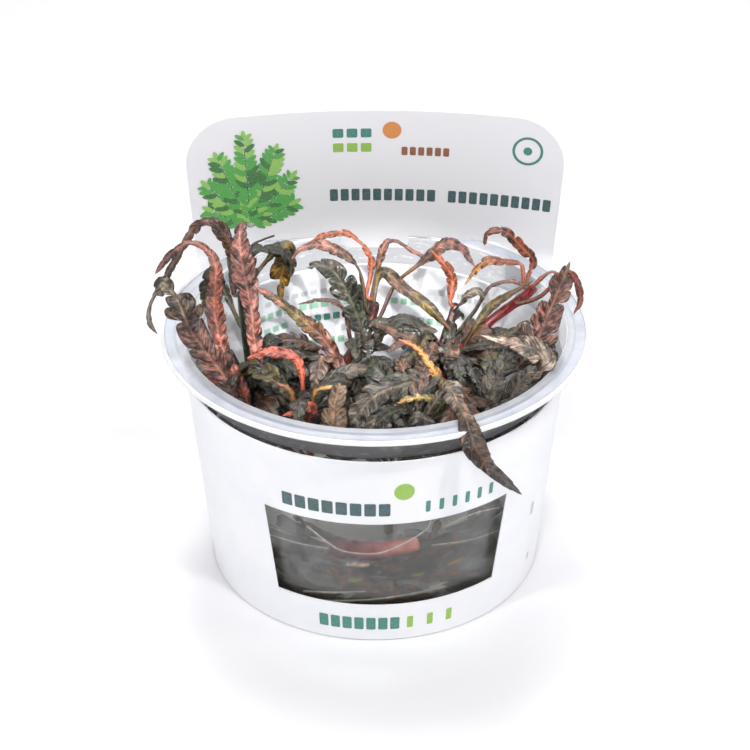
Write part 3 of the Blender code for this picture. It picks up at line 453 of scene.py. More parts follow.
def leaf_finish():
    """Leaf skin, veined and mottled, under a smooth wet film, with painted shade in the hollows and painted
    highlights on the ridges of its streaked, celled and specked relief.
    """
    made = Finish("leaf_skin", (0.1, 0.1, 0.05), 0.4, Coat_Weight=1.0, Coat_Roughness=0.10, Coat_IOR=1.6,
                  Specular_IOR_Level=0.2)
    tint = made.colour("tint")
    vein = made.value("vein")
    patch = made.noise(3.4, 3.0, 0.6)
    warm = made.noise(5.0, 2.0)
    speck = made.noise(0.7, 3.0, 0.65)
    cell = made.cells(1.15, "SMOOTH_F1")
    streak = made.streaks(0.50, 3.2)
    # A near-black tint, for dark mottled patches and for painted shade
    dark = made.mix(1.0, tint, (0.08, 0.05, 0.035), "MULTIPLY")
    # A pale, cream-lifted tint, for the veins and for painted highlights
    pale = made.mix(0.13, made.mix(1.0, tint, (2.2, 2.2, 2.2), "MULTIPLY"), linear(240, 208, 180))
    turned_warm = made.mix(0.40, tint, linear(150, 72, 36))
    turned_green = made.mix(0.35, tint, linear(50, 58, 20))
    colour = made.mix(made.range(warm, 0.54, 0.66, 0.0, 0.35), tint, turned_warm)
    colour = made.mix(made.range(warm, 0.34, 0.45, 0.5, 0.0), colour, turned_green)
    colour = made.mix(made.range(patch, 0.48, 0.61, 0.0, 0.85), colour, dark)
    # Painted shade in the low parts of the cells, streaks and specks, and painted highlights on the high
    # parts of the streaks and specks: the same patterns raise the bumps below
    colour = made.mix(made.range(cell, 0.41, 0.67, 0.0, 0.65), colour, dark)
    colour = made.mix(made.range(streak, 0.42, 0.50, 0.92, 0.0), colour, dark)
    colour = made.mix(made.range(streak, 0.55, 0.67, 0.0, 0.65), colour, pale)
    colour = made.mix(made.range(speck, 0.36, 0.45, 0.45, 0.0), colour, dark)
    colour = made.mix(made.range(speck, 0.60, 0.70, 0.0, 0.5), colour, pale)
    colour = made.mix(made.math("MULTIPLY", vein, 0.6), colour, pale)
    dome = made.range(cell, 0.0, 0.7, 1.0, 0.0)
    film = made.bump(dome, 0.15, 1.0, made.bump(streak, 0.38, 1.0))
    relief = made.bump(speck, 0.08, 1.0, film)
    made.into(Base_Color=colour, Normal=relief, Coat_Normal=film,
              Roughness=made.range(speck, 0.3, 0.7, 0.30, 0.5))
    return made.material


def stem_finish():
    """Wet stem skin with fine lengthwise streaks."""
    made = Finish("stem_skin", (0.1, 0.03, 0.03), 0.3, Coat_Weight=0.4, Coat_Roughness=0.15,
                  Subsurface_Weight=0.10, Subsurface_Scale=0.6 * MM)
    tint = made.colour("tint")
    streak = made.noise(0.5, 3.0, 0.6, (1.0, 1.0, 0.25))
    patch = made.noise(2.2, 3.0)
    dark = made.mix(0.6, tint, linear(24, 20, 18))
    pale = made.mix(0.3, tint, linear(206, 150, 120))
    colour = made.mix(made.range(streak, 0.4, 0.7, 0.0, 0.6), tint, dark)
    colour = made.mix(made.range(patch, 0.5, 0.75, 0.0, 0.4), colour, pale)
    made.into(Base_Color=colour, Normal=made.bump(streak, 0.1, 0.8),
              Roughness=made.range(patch, 0.3, 0.7, 0.2, 0.42))
    return made.material


def floor_finish():
    """Plain pale studio floor."""
    made = Finish("floor", linear(241, 241, 243), 0.6, Specular_IOR_Level=0.1)
    shade = made.mix(made.noise(300.0, 2.0), linear(240, 240, 242), linear(242, 242, 244))
    made.into(Base_Color=shade)
    return made.material


# Cup, gel and card

def turned(name, profile, steps, finishes, replaces, pick=None):
    """Turn a profile of (radius, height) points, its faces' finishes picked by their place."""
    made = bmesh.new()
    line = [made.verts.new(Vector((radius, 0.0, height)) * MM) for radius, height in profile]
    edges = [made.edges.new(pair) for pair in zip(line, line[1:])]
    bmesh.ops.spin(made, geom=line + edges, cent=(0, 0, 0), axis=(0, 0, 1), angle=math.tau,
                   steps=steps, use_merge=True, use_duplicate=False)
    bmesh.ops.remove_doubles(made, verts=made.verts, dist=0.001 * MM)
    mesh = mesh_of(name, made)
    mesh.shade_smooth()
    mesh.set_sharp_from_angle(angle=math.radians(60.0))
    for finish in finishes:
        mesh.materials.append(finish)
    if pick:
        for face in mesh.polygons:
            face.material_index = pick(face)
    return place(name, mesh, replaces)


def cup_part(face):
    """Which finish a face of the cup has: wall 0, flange 1, white edge 2, shoulder 3."""
    x, y, height = face.center / MM
    radius = math.hypot(x, y)
    if height > FLANGE_TOP - FLANGE_THICKNESS - 0.1:
        return 1 if FLANGE_RIM[0] < radius < FLANGE_RIM[1] else 2
    outward = face.normal.x * x + face.normal.y * y > 0.3 * radius
    return 3 if outward and height > SHOULDER_HEIGHT - 1.5 else 0


def cup_radius(height):
    """Outer radius of the cup's tapered wall at a height."""
    return CUP_BASE_RADIUS + TAPER * height


def rounded(profile, radius, steps=4):
    """Round every corner of a profile, apart from its ends, with an arc of about a radius."""
    points = [Vector(point) for point in profile]
    out = [points[0]]
    for before, corner, after in zip(points, points[1:], points[2:]):
        to_before, to_after = before - corner, after - corner
        reach = min(radius, 0.45 * to_before.length, 0.45 * to_after.length)
        start = corner + to_before.normalized() * reach
        end = corner + to_after.normalized() * reach
        for k in range(steps + 1):
            t = k / steps
            out.append(start * (1 - t) ** 2 + corner * 2 * t * (1 - t) + end * t ** 2)
    return [tuple(point) for point in out + [points[-1]]]


def make_cup():
    """The clear tub: floor with a foot ring, tapered wall, bead and flange."""
    flange_foot = FLANGE_TOP - FLANGE_THICKNESS
    bead_top = FLANGE_TOP + BEAD_HEIGHT
    lip_top = FLANGE_TOP + LIP_HEIGHT
    shoulder = cup_radius(SHOULDER_HEIGHT)
    profile = [
        (0.0, CUP_FLOOR), (cup_radius(0) - 1.9, CUP_FLOOR), (cup_radius(2) - CUP_WALL, 2.1),
        (shoulder - CUP_WALL, SHOULDER_HEIGHT), (MOUTH_RADIUS - CUP_WALL, THROAT),
        (MOUTH_RADIUS - 0.1, bead_top), (MOUTH_RADIUS + BEAD_WIDTH, bead_top),
        (MOUTH_RADIUS + 2.1, FLANGE_TOP), (FLANGE_RADIUS - LIP_WIDTHS[0], FLANGE_TOP),
        (FLANGE_RADIUS - LIP_WIDTHS[1], lip_top), (FLANGE_RADIUS, lip_top),
        (FLANGE_RADIUS, flange_foot), (MOUTH_RADIUS + 0.8, flange_foot),
        (MOUTH_RADIUS + 0.1, THROAT), (shoulder, SHOULDER_HEIGHT), (cup_radius(1), 1.0),
        (cup_radius(0) - 1.0, 0.0), (cup_radius(0) - 2.4, 0.0), (cup_radius(0) - 3.0, 0.3), (0.0, 0.3),
    ]
    finishes = [plastic_finish(), flange_finish(), bead_finish(), shoulder_finish()]
    turned("clear_cup", rounded(profile, 0.5), CUP_STEPS, finishes, ["cup"], cup_part)


# Round bubbles in the gel: angle from the front, height, depth behind the wall, radius
BUBBLES = ((3.8, 22.2, 2.3, 1.9), (4.4, 22.0, 2.3, 0.7), (-16.5, 23.0, 1.2, 0.7), (23.0, 22.8, 1.2, 0.8),
           (-28.0, 17.0, 1.4, 0.5), (12.0, 20.0, 1.2, 0.4))


def make_gel():
    """The gel, which climbs a little up the cup's wall, with its round bubbles."""
    clearance = CUP_WALL + WALL_FILM
    foot = CUP_FLOOR + WALL_FILM
    profile = [(0.0, GEL_TOP), (cup_radius(GEL_TOP) - clearance - MENISCUS_WIDTH, GEL_TOP)]
    for k in range(1, CLIMB_STEPS + 1):
        t = k / CLIMB_STEPS
        radius = cup_radius(GEL_TOP) - clearance - MENISCUS_WIDTH * (1 - t)
        profile.append((radius, GEL_TOP + MENISCUS * t * t))
    profile += [(cup_radius(2) - clearance, CUP_FLOOR + 1.3), (cup_radius(0) - 2.0, foot), (0.0, foot)]
    gel = turned("clear_gel", profile, GEL_STEPS, [gel_finish()], ["gel"])
    made = bmesh.new()
    made.from_mesh(gel.data)
    for degrees, height, depth, radius in BUBBLES:
        middle = Matrix.Translation(Vector(on_wall(degrees, height, depth)) * MM)
        ball = bmesh.ops.create_uvsphere(made, u_segments=20, v_segments=12, radius=radius * MM,
                                         matrix=middle)
        skin = {face for vert in ball["verts"] for face in vert.link_faces}
        bmesh.ops.reverse_faces(made, faces=list(skin))
        for face in skin:
            face.smooth = True
    made.to_mesh(gel.data)
    made.free()


def card_point(along, height):
    """Middle of the card at distances round the wrap from the back, and heights."""
    angle = along / WRAP_RADIUS
    radius = SLEEVE_BASE_RADIUS + TAPER * height
    wrap = np.stack([radius * np.sin(angle), radius * np.cos(angle), height + 0 * along], -1)
    bend = along / TAG_CURVE
    depth = TAG_DEPTH + TAG_LEAN * (height - TAG_FOOT) - TAG_CURVE * (1.0 - np.cos(bend))
    flat = np.stack([TAG_CURVE * np.sin(bend), depth, height + 0 * along], -1)
    side = smooth_step(SLOT_HALF_LENGTH - SLOT_EASE[0], SLOT_HALF_LENGTH + SLOT_EASE[1], np.abs(along))
    start = SLOT_BEND[0] + (SIDE_BEND[0] - SLOT_BEND[0]) * side
    end = SLOT_BEND[1] + (SIDE_BEND[1] - SLOT_BEND[1]) * side
    fade = 1.0 - smooth_step(TAG_HALF_WIDTH + TAG_FADE[0], TAG_HALF_WIDTH + TAG_FADE[1], np.abs(along))
    weight = (smooth_step(start, end, height) * fade)[..., None]
    return wrap * (1 - weight) + flat * weight


def card_spread(along, height):
    """Widen the tag towards its top."""
    return along * (1.0 + np.maximum(0.0, height - TAG_FOOT) * TAG_FLARE / TAG_HALF_WIDTH)


def off_card(along, height, lift):
    """Points that far outside (or inside, below 0) the middle of the card."""
    step = 0.05
    here = card_point(card_spread(along, height), height)
    right = card_point(card_spread(along + step, height), height)
    up = card_point(card_spread(along, height + step), height + step)
    normal = np.cross(up - here, right - here)
    normal /= np.linalg.norm(normal, axis=-1, keepdims=True)
    return here + normal * lift


def tag_tops(columns):
    """Height of the tag's top edge, with its rounded corners, at each column."""
    past = np.clip(np.abs(columns) - TAG_FLAT, 0.0, TAG_CORNER)
    return TAG_TOP - TAG_CORNER + np.sqrt(TAG_CORNER ** 2 - past ** 2)


def card_columns(half):
    """Distances of the columns round the wrap, close together at the tag's corners."""
    flat = np.linspace(0.0, TAG_FLAT, round(TAG_FLAT / CARD_STEP) + 1)
    turn = TAG_FLAT + TAG_CORNER * np.sin(np.radians(np.linspace(0.0, 90.0, 17)[1:]))
    side = np.linspace(TAG_HALF_WIDTH, half, round((half - TAG_HALF_WIDTH) / CARD_STEP) + 1)[1:]
    right = np.concatenate([flat, turn, side])
    return np.concatenate([-right[:0:-1][1:], right])


def prism(name, outline, near, far, turn=0.0):
    """A cutter: an outline in X and Z, run along Y and turned about Z."""
    made = bmesh.new()
    face = made.faces.new([made.verts.new(Vector((x, near, z)) * MM) for x, z in outline])
    run = bmesh.ops.extrude_face_region(made, geom=[face])["geom"]
    moved = [item for item in run if isinstance(item, bmesh.types.BMVert)]
    bmesh.ops.translate(made, verts=moved, vec=Vector((0.0, far - near, 0.0)) * MM)
    spin = Matrix.Rotation(math.radians(turn), 3, "Z")
    bmesh.ops.rotate(made, verts=made.verts, cent=(0, 0, 0), matrix=spin)
    return new_object(name, mesh_of(name, made))


def corner_arc(x, z, radius, start, steps=6):
    """Points of a quarter circle from an angle in degrees."""
    angles = np.radians(np.linspace(start, start + 90.0, steps + 1))
    return [(x + radius * math.cos(a), z + radius * math.sin(a)) for a in angles]


def slot_outline():
    """The slot's outline: round ends, and a tongue left hanging from its top edge."""
    right, low, high = SLOT_HALF_LENGTH, SLEEVE_TOP - 0.05, TAG_FOOT
    outline = [(-right, low), (right, low)]
    outline += corner_arc(right - SLOT_CORNER, high - SLOT_CORNER, SLOT_CORNER, 0.0)
    tongue = TONGUE_HALF_WIDTH
    outline += [(tongue, high), (tongue - 0.4, TONGUE_FOOT + 0.8), (tongue - 1.2, TONGUE_FOOT)]
    outline += [(-tongue + 1.2, TONGUE_FOOT), (-tongue + 0.4, TONGUE_FOOT + 0.8), (-tongue, high)]
    outline += corner_arc(-right + SLOT_CORNER, high - SLOT_CORNER, SLOT_CORNER, 90.0)
    return outline


def make_card():
    """The card: its wrap and header tag, with the window and the slot cut out."""
    half = math.pi * WRAP_RADIUS
    columns = card_columns(half)
    wrap_rows = np.linspace(SLEEVE_FOOT, SLEEVE_TOP, 30)
    tag_parts = np.linspace(0.0, 1.0, 30)[1:]
    made = bmesh.new()
    grid = {}
    for i, (along, top) in enumerate(zip(columns, tag_tops(columns))):
        heights = wrap_rows
        if abs(along) <= TAG_HALF_WIDTH + 0.001:
            heights = np.concatenate([wrap_rows, SLEEVE_TOP + (top - SLEEVE_TOP) * tag_parts])
        for j, point in enumerate(card_point(card_spread(along + 0 * heights, heights), heights)):
            grid[i, j] = made.verts.new(Vector(point) * MM)
    count = len(columns)
    for i in range(count):
        k = (i + 1) % count
        for j in range(len(wrap_rows) + len(tag_parts) - 1):
            corners = [(i, j), (i, j + 1), (k, j + 1), (k, j)]
            above = j >= len(wrap_rows) - 1
            if all(c in grid for c in corners) and not (above and k == 0):
                made.faces.new([grid[c] for c in corners])
    sleeve = new_object("card_sleeve", mesh_of("card_sleeve", made))
    solid = sleeve.modifiers.new("thickness", "SOLIDIFY")
    solid.thickness = CARD * MM
    solid.offset = 0.0
    window = [(-WINDOW_FOOT_HALF_WIDTH, WINDOW_FOOT), (WINDOW_FOOT_HALF_WIDTH, WINDOW_FOOT),
              (WINDOW_TOP_HALF_WIDTH, WINDOW_TOP), (-WINDOW_TOP_HALF_WIDTH, WINDOW_TOP)]
    cutters = [prism("window_cutter", window, -60.0, -12.0, WINDOW_AZIMUTH),
               prism("slot_cutter", slot_outline(), 20.0, 60.0)]
    for cutter in cutters:
        boolean = sleeve.modifiers.new(cutter.name, "BOOLEAN")
        boolean.operation = "DIFFERENCE"
        boolean.object = cutter
    shown = sleeve.evaluated_get(bpy.context.evaluated_depsgraph_get())
    final = bpy.data.meshes.new_from_object(shown)
    for thing in [sleeve, *cutters]:
        bpy.data.objects.remove(thing)
    final.shade_smooth()
    final.set_sharp_from_angle(angle=math.radians(35.0))
    final.materials.clear()
    final.materials.append(card_finish())
    place("card_sleeve_with_tag", final, ["sleeve"])


# Printing on the card: plain marks of the builder's own, with no lettering

INK_LIFT = 0.04
TAG_TINT = linear(247, 246, 250)
INKS = {
    "teal": linear(44, 84, 88), "sea": linear(46, 132, 118), "lime": linear(150, 196, 70),
    "orange": linear(226, 142, 58), "brown": linear(150, 82, 46), "grey": linear(196, 200, 202),
    "mint": linear(148, 200, 172), "leaf": linear(78, 172, 70), "moss": linear(52, 122, 52),
    "spring": linear(146, 202, 92),
}
# Rows of small blocks: left, right, low and high edge, number of blocks, share filled, ink
TAG_ROWS = (
    (-10.5, 14.0, 69.0, 72.0, 10, 0.74, "teal"), (17.0, 41.0, 69.0, 72.0, 10, 0.74, "teal"),
    (-9.5, -0.8, 85.0, 87.2, 3, 0.76, "sea"), (-9.5, -0.8, 81.4, 83.6, 3, 0.76, "lime"),
    (6.0, 16.8, 80.6, 82.7, 6, 0.72, "brown"),
)
INNER_ROWS = (
    (-29.0, -12.0, 44.3, 45.6, 7, 0.72, "grey"), (-31.0, -22.0, 41.0, 42.6, 4, 0.7, "mint"),
    (-19.5, -6.0, 40.6, 42.4, 5, 0.7, "mint"), (-30.0, -23.0, 37.2, 38.8, 3, 0.7, "mint"),
    (-20.5, -9.0, 37.0, 38.8, 5, 0.7, "sea"), (-19.5, -8.0, 30.6, 32.4, 5, 0.7, "mint"),
    (-8.6, -4.0, 33.6, 35.4, 2, 0.7, "grey"), (4.0, 13.0, 40.6, 42.2, 4, 0.7, "mint"),
    (16.0, 30.0, 44.2, 45.8, 6, 0.7, "grey"), (6.0, 20.0, 36.0, 37.6, 6, 0.7, "mint"),
)
# The same on the front of the sleeve, with its edges in degrees round the cup
FRONT_ROWS = (
    (-28.5, 4.5, 36.2, 39.6, 8, 0.80, "teal"), (15.0, 37.5, 36.4, 39.4, 6, 0.34, "sea"),
    (-18.5, 8.0, 3.4, 6.9, 7, 0.78, "sea"), (10.5, 26.0, 3.5, 6.8, 3, 0.30, "lime"),
    (60.0, 62.0, 21.0, 24.5, 1, 1.0, "grey"), (62.5, 64.0, 7.0, 9.0, 1, 1.0, "grey"),
)


# The plain fan of sprigs: its seed, its foot, and each sprig's lean in degrees and length
SPRIG_SEED = 5
SPRIG_FOOT = (-29.5, 63.5)
SPRIGS = ((62, 13), (-58, 12), (40, 18), (-38, 17), (20, 23), (-19, 22), (0, 26))


def print_patch(bag, along, heights, tint, lift):
    """A printed patch, with its points in a grid on the card."""
    grid = off_card(np.broadcast_to(along, heights.shape), heights, lift)
    bag.add_sheet(grid, tint=np.broadcast_to(tint, grid.shape))


def print_bar(bag, left, right, low, high, ink, lift):
    """A printed block with slightly rounded corners."""
    corner = min(0.3, 0.4 * (right - left), 0.4 * (high - low))
    turn = corner * (1.0 - np.cos(np.linspace(0.0, math.pi / 2, 4)))
    flat = np.linspace(left + corner, right - corner, max(2, math.ceil(right - left)))
    along = np.concatenate([left + turn[:-1], flat, right - turn[-2::-1]])
    inset = np.clip(corner - np.minimum(along - left, right - along), 0.0, corner)
    half = (high - low) / 2 - corner + np.sqrt(corner ** 2 - inset ** 2)
    heights = (high + low) / 2 + np.linspace(-1.0, 1.0, 5)[:, None] * half[None, :]
    print_patch(bag, along, heights, INKS[ink], lift)


def print_rows(bag, rows, lift, along_of=lambda value: value):
    """Rows of even blocks, with their edges in any measure along the card."""
    for left, right, low, high, count, share, ink in rows:
        pitch = (right - left) / (count - 1 + share)
        for k in range(count):
            ends = sorted((along_of(left + k * pitch), along_of(left + (k + share) * pitch)))
            print_bar(bag, *ends, low, high, ink, lift)


def print_disc(bag, along, height, inner, outer, ink, lift):
    """A printed disc, or a ring where its inner radius isn't 0."""
    angle = np.linspace(0.0, math.tau, 33)[None, :]
    radius = np.linspace(inner, outer, 3)[:, None]
    print_patch(bag, along + radius * np.cos(angle), height + radius * np.sin(angle), INKS[ink], lift)


def print_leaflet(bag, along, height, turn, length, width, ink, lift):
    """A printed oval leaflet that points away from its foot."""
    part = np.linspace(0.0, 1.0, 9)[:, None]
    side = np.linspace(-1.0, 1.0, 3)[None, :] * width / 2 * np.sqrt(np.sin(math.pi * part ** 0.8) + 1e-4)
    run = length * part
    print_patch(bag, along + run * math.cos(turn) - side * math.sin(turn),
                height + run * math.sin(turn) + side * math.cos(turn), INKS[ink], lift)


def print_sprigs(bag, lift):
    """A fan of plain sprigs with paired oval leaflets, at the left of the tag."""
    luck = np.random.default_rng(SPRIG_SEED)
    greens = ("leaf", "moss", "spring", "leaf")
    foot = np.array(SPRIG_FOOT)
    for number, (lean, reach) in enumerate(SPRIGS):
        turn = math.radians(90.0 - lean)
        stem = np.array((math.cos(turn), math.sin(turn)))
        print_leaflet(bag, *foot, turn, reach * 0.86, 0.4, "moss", lift)
        count = round(reach / 1.7)
        for k in range(1, count + 1):
            at = foot + stem * reach * 0.86 * k / count
            size = (1.8 + 1.9 * math.sin(math.pi * k / (count + 2))) * luck.uniform(0.85, 1.1)
            for hand in (-1, 1):
                ink = greens[int(luck.integers(4))]
                print_leaflet(bag, *at, turn + hand * math.radians(52.0), size, size * 0.42, ink,
                              lift * (1.0 + 0.02 * number + 0.01 * k))
        print_leaflet(bag, *(foot + stem * reach * 0.84), turn, 3.0, 1.2, "spring", lift * 1.2)


def make_printing():
    """The tag's grey face and the plain marks on the tag and the sleeve."""
    ink = print_finish()
    face = -(CARD / 2 + INK_LIFT)
    columns = card_columns(TAG_HALF_WIDTH)
    columns = columns[np.abs(columns) < TAG_HALF_WIDTH - 0.25]
    tops = tag_tops(columns) - 0.35
    heights = TAG_FOOT + 0.1 + (tops - TAG_FOOT) * np.linspace(0.0, 1.0, 24)[:, None]
    bag = Bag()
    print_patch(bag, columns, heights, TAG_TINT, face)
    tongue = np.linspace(-TONGUE_HALF_WIDTH + 0.9, TONGUE_HALF_WIDTH - 0.9, 18)
    heights = np.linspace(TONGUE_FOOT + 0.15, TAG_FOOT + 0.1, 6)[:, None] + 0 * tongue
    print_patch(bag, tongue, heights, TAG_TINT, face)
    over = face - INK_LIFT
    print_rows(bag, TAG_ROWS, over)
    print_disc(bag, 3.8, 86.8, 0.0, 2.1, "orange", over)
    print_disc(bag, 34.5, 83.6, 2.9, 3.5, "sea", over)
    print_disc(bag, 34.5, 83.6, 0.0, 1.0, "sea", over)
    print_sprigs(bag, over - INK_LIFT)
    bag.make("tag_printing", ink)
    bag = Bag()
    print_rows(bag, FRONT_ROWS, -face, lambda degrees: WRAP_RADIUS * (math.pi - math.radians(degrees)))
    print_disc(bag, WRAP_RADIUS * (math.pi - math.radians(8.5)), 42.6, 0.0, 2.2, "lime", -face)
    bag.make("sleeve_printing", ink)
    bag = Bag()
    print_rows(bag, INNER_ROWS, face)
    bag.make("inner_printing", ink)


# Plants

def run_along(line):
    """Distance from a line's start at each of its points."""
    return np.concatenate([[0.0], np.cumsum(np.linalg.norm(np.diff(line, axis=0), axis=1))])


def curve_through(route, step):
    """Points about a step apart on a smooth curve through a route."""
    nodes = [Vector(point) for point in route]
    nodes = [2 * nodes[0] - nodes[1]] + nodes + [2 * nodes[-1] - nodes[-2]]
    dense = []
    for a, b, c, d in zip(nodes, nodes[1:], nodes[2:], nodes[3:]):
        for k in range(16):
            t = k / 16
            dense.append(0.5 * (2 * b + (c - a) * t + (2 * a - 5 * b + 4 * c - d) * t ** 2
                                + (3 * b - a - 3 * c + d) * t ** 3))
    dense.append(nodes[-2])
    line = np.array(dense)
    reach = run_along(line)
    goals = np.linspace(0.0, reach[-1], max(3, round(reach[-1] / step)) + 1)
    return np.stack([np.interp(goals, reach, line[:, axis]) for axis in range(3)], -1)


def directions(points):
    """Unit direction of a curve at each of its points."""
    ahead = np.gradient(points, axis=0)
    return ahead / np.linalg.norm(ahead, axis=1, keepdims=True)


def smoothed(values, width):
    """Moving average along a curve, with its ends held."""
    if width < 2:
        return values
    pad = np.concatenate([np.repeat(values[:1], width, 0), values, np.repeat(values[-1:], width, 0)])
    window = np.hanning(2 * width + 1)
    window /= window.sum()
    return np.stack([np.convolve(pad[:, k], window, "valid") for k in range(values.shape[1])], -1)


def unit(vectors):
    """Vectors of length 1."""
    return vectors / np.maximum(1e-9, np.linalg.norm(vectors, axis=-1, keepdims=True))


def leaf_root(stem, height, towards):
    """Where a leaf starts: inside its stem, and then just off the stem's skin."""
    radius, route = STEMS[stem][2:]
    line = curve_through(route, PETIOLE_WIDTH)
    at = int(np.argmin(np.abs(line[:, 2] - height)))
    along = directions(line)[at]
    away = np.array(towards) - line[at]
    across = unit(away - along * (away @ along))
    outward = unit(across + FOOT_LEAN * unit(away))
    return [line[at] + outward * reach for reach in (0.3 * radius, radius + GAP + CAD_LEAF_THICKNESS)]


# Where the lobes of a leaf end if they run to its tip: a share past its length
NEVER = 2.0
# Kinds of leaf: the pitch of the lobes, the share of the blade between them, how full they are,
# their sweep and swell, the blade's pucker, camber and wave, and where the lobes end
KINDS = {
    "strap": (2.9, 0.72, 0.95, 0.5, 0.05, 0.34, 0.04, 0.16, NEVER),
    "beaded": (2.6, 0.24, 0.84, 0.45, 0.18, 0.16, 0.02, 0.26, NEVER),
    "pinnate": (3.4, 0.24, 0.88, 0.45, 0.12, 0.30, 0.00, 0.16, NEVER),
    "ruffled": (3.2, 0.52, 0.95, 0.55, 0.08, 0.36, 0.02, 0.20, NEVER),
    "lobed": (3.6, 0.34, 0.86, 0.45, 0.10, 0.26, -0.05, 0.10, NEVER),
    "half_lobed": (3.2, 0.30, 0.9, 0.3, 0.12, 0.24, 0.02, 0.12, 0.34),
    "soft": (3.8, 0.74, 1.0, 0.6, 0.05, 0.24, 0.04, 0.10, NEVER),
    "lance": (3.0, 0.84, 1.0, 0.9, 0.0, 0.26, 0.06, 0.08, NEVER),
    "drops": (4.0, 0.12, 0.80, 0.40, 0.24, 0.16, 0.02, 0.20, NEVER),
    "smooth": (6.0, 0.90, 1.0, 0.5, 0.0, 0.14, 0.08, 0.04, NEVER),
}
# Widths of some leaves along their length, as shares of the even blade
PROFILES = {
    "left_upright_leaf": ((0.0, 0.8), (0.3, 0.75), (0.45, 0.8), (0.62, 1.3), (0.72, 1.25), (0.82, 0.8),
                          (1.0, 0.95)),
    "left_long_pink_leaf": ((0.0, 0.9), (0.45, 1.05), (0.62, 1.1), (0.72, 0.55), (0.80, 0.5), (0.9, 0.95),
                            (1.0, 0.9)),
    "left_arching_leaf": ((0.0, 1.0), (0.3, 1.35), (0.45, 1.2), (0.55, 0.5), (0.85, 0.6), (1.0, 1.0)),
    "overhanging_leaf": ((0.0, 1.0), (0.12, 2.3), (0.30, 1.6), (0.46, 0.7), (0.62, 1.0), (0.8, 0.9),
                         (1.0, 0.45)),
    "right_olive_leaf": ((0.0, 0.6), (0.5, 0.75), (1.0, 0.6)),
    "lance_leaf": ((0.0, 0.6), (0.35, 0.95), (0.6, 0.8), (1.0, 0.5)),
    "pale_lying_leaf": ((0.0, 0.9), (0.3, 1.15), (0.6, 1.2), (0.85, 0.8), (1.0, 0.4)),
    "right_broad_leaf": ((0.0, 0.8), (0.4, 0.9), (0.6, 1.2), (0.85, 0.8), (1.0, 0.5)),
    "right_tall_leaf": ((0.0, 0.7), (0.5, 1.1), (0.6, 0.8), (1.0, 0.7)),
}


def blade_half(part, width, petiole):
    """Half width of a leaf from its foot (0) to its rounded tip (1)."""
    blade = np.clip((part - petiole) / (1.0 - petiole), 0.0, 1.0)
    swell = np.sin(math.pi * np.minimum(1.0, BLADE_FOOT + BLADE_SPAN * blade)) ** BLADE_FULLNESS
    rise = smooth_step(-0.02, 0.12, (part - petiole) / (1.0 - petiole))
    tip = np.sqrt(np.clip(1.0 - ((blade - 0.93) / 0.07).clip(0.0, 1.0) ** 2, 0.0, 1.0))
    wide = PETIOLE_WIDTH * (1.0 - rise) + np.maximum(0.5, width * swell) * rise
    return wide / 2 * np.maximum(0.12, tip)


def keep_inside(points, centre, margin=0.35):
    """Hold the points of a leaf that grows inside the cup off its wall."""
    height = points[..., 2]
    room = np.where(height < SHOULDER_HEIGHT, cup_radius(height), MOUTH_RADIUS) - CUP_WALL - margin
    radius = np.linalg.norm(points[..., :2], axis=-1)
    inside = (np.linalg.norm(centre[..., :2], axis=-1) < MOUTH_RADIUS - 1.0) & (height < FLANGE_TOP + 1.0)
    pull = np.where(inside & (radius > room), room / np.maximum(radius, 1e-6), 1.0)
    points[..., :2] *= pull[..., None]
    return points


def wrinkle(points, size, seed):
    """Smooth noise at points, with bumps of about a size in millimetres."""
    flat = points.reshape(-1, 3) / size + 7.31 * seed
    return np.array([noise.noise(point) for point in flat.tolist()]).reshape(points.shape[:-1])


def blend_tints(names, share):
    """Colours along a leaf or stem: the named tints, evenly spaced from 0 to 1."""
    stops = np.array([TINTS[name] for name in names])
    at = np.linspace(0.0, 1.0, len(names))
    return np.stack([np.interp(share, at, stops[:, k]) for k in range(3)], -1)


def around(over, under):
    """Values round a blade: along its upper side and back along its lower side."""
    return np.concatenate([over, under[:, -2:0:-1]], axis=1)


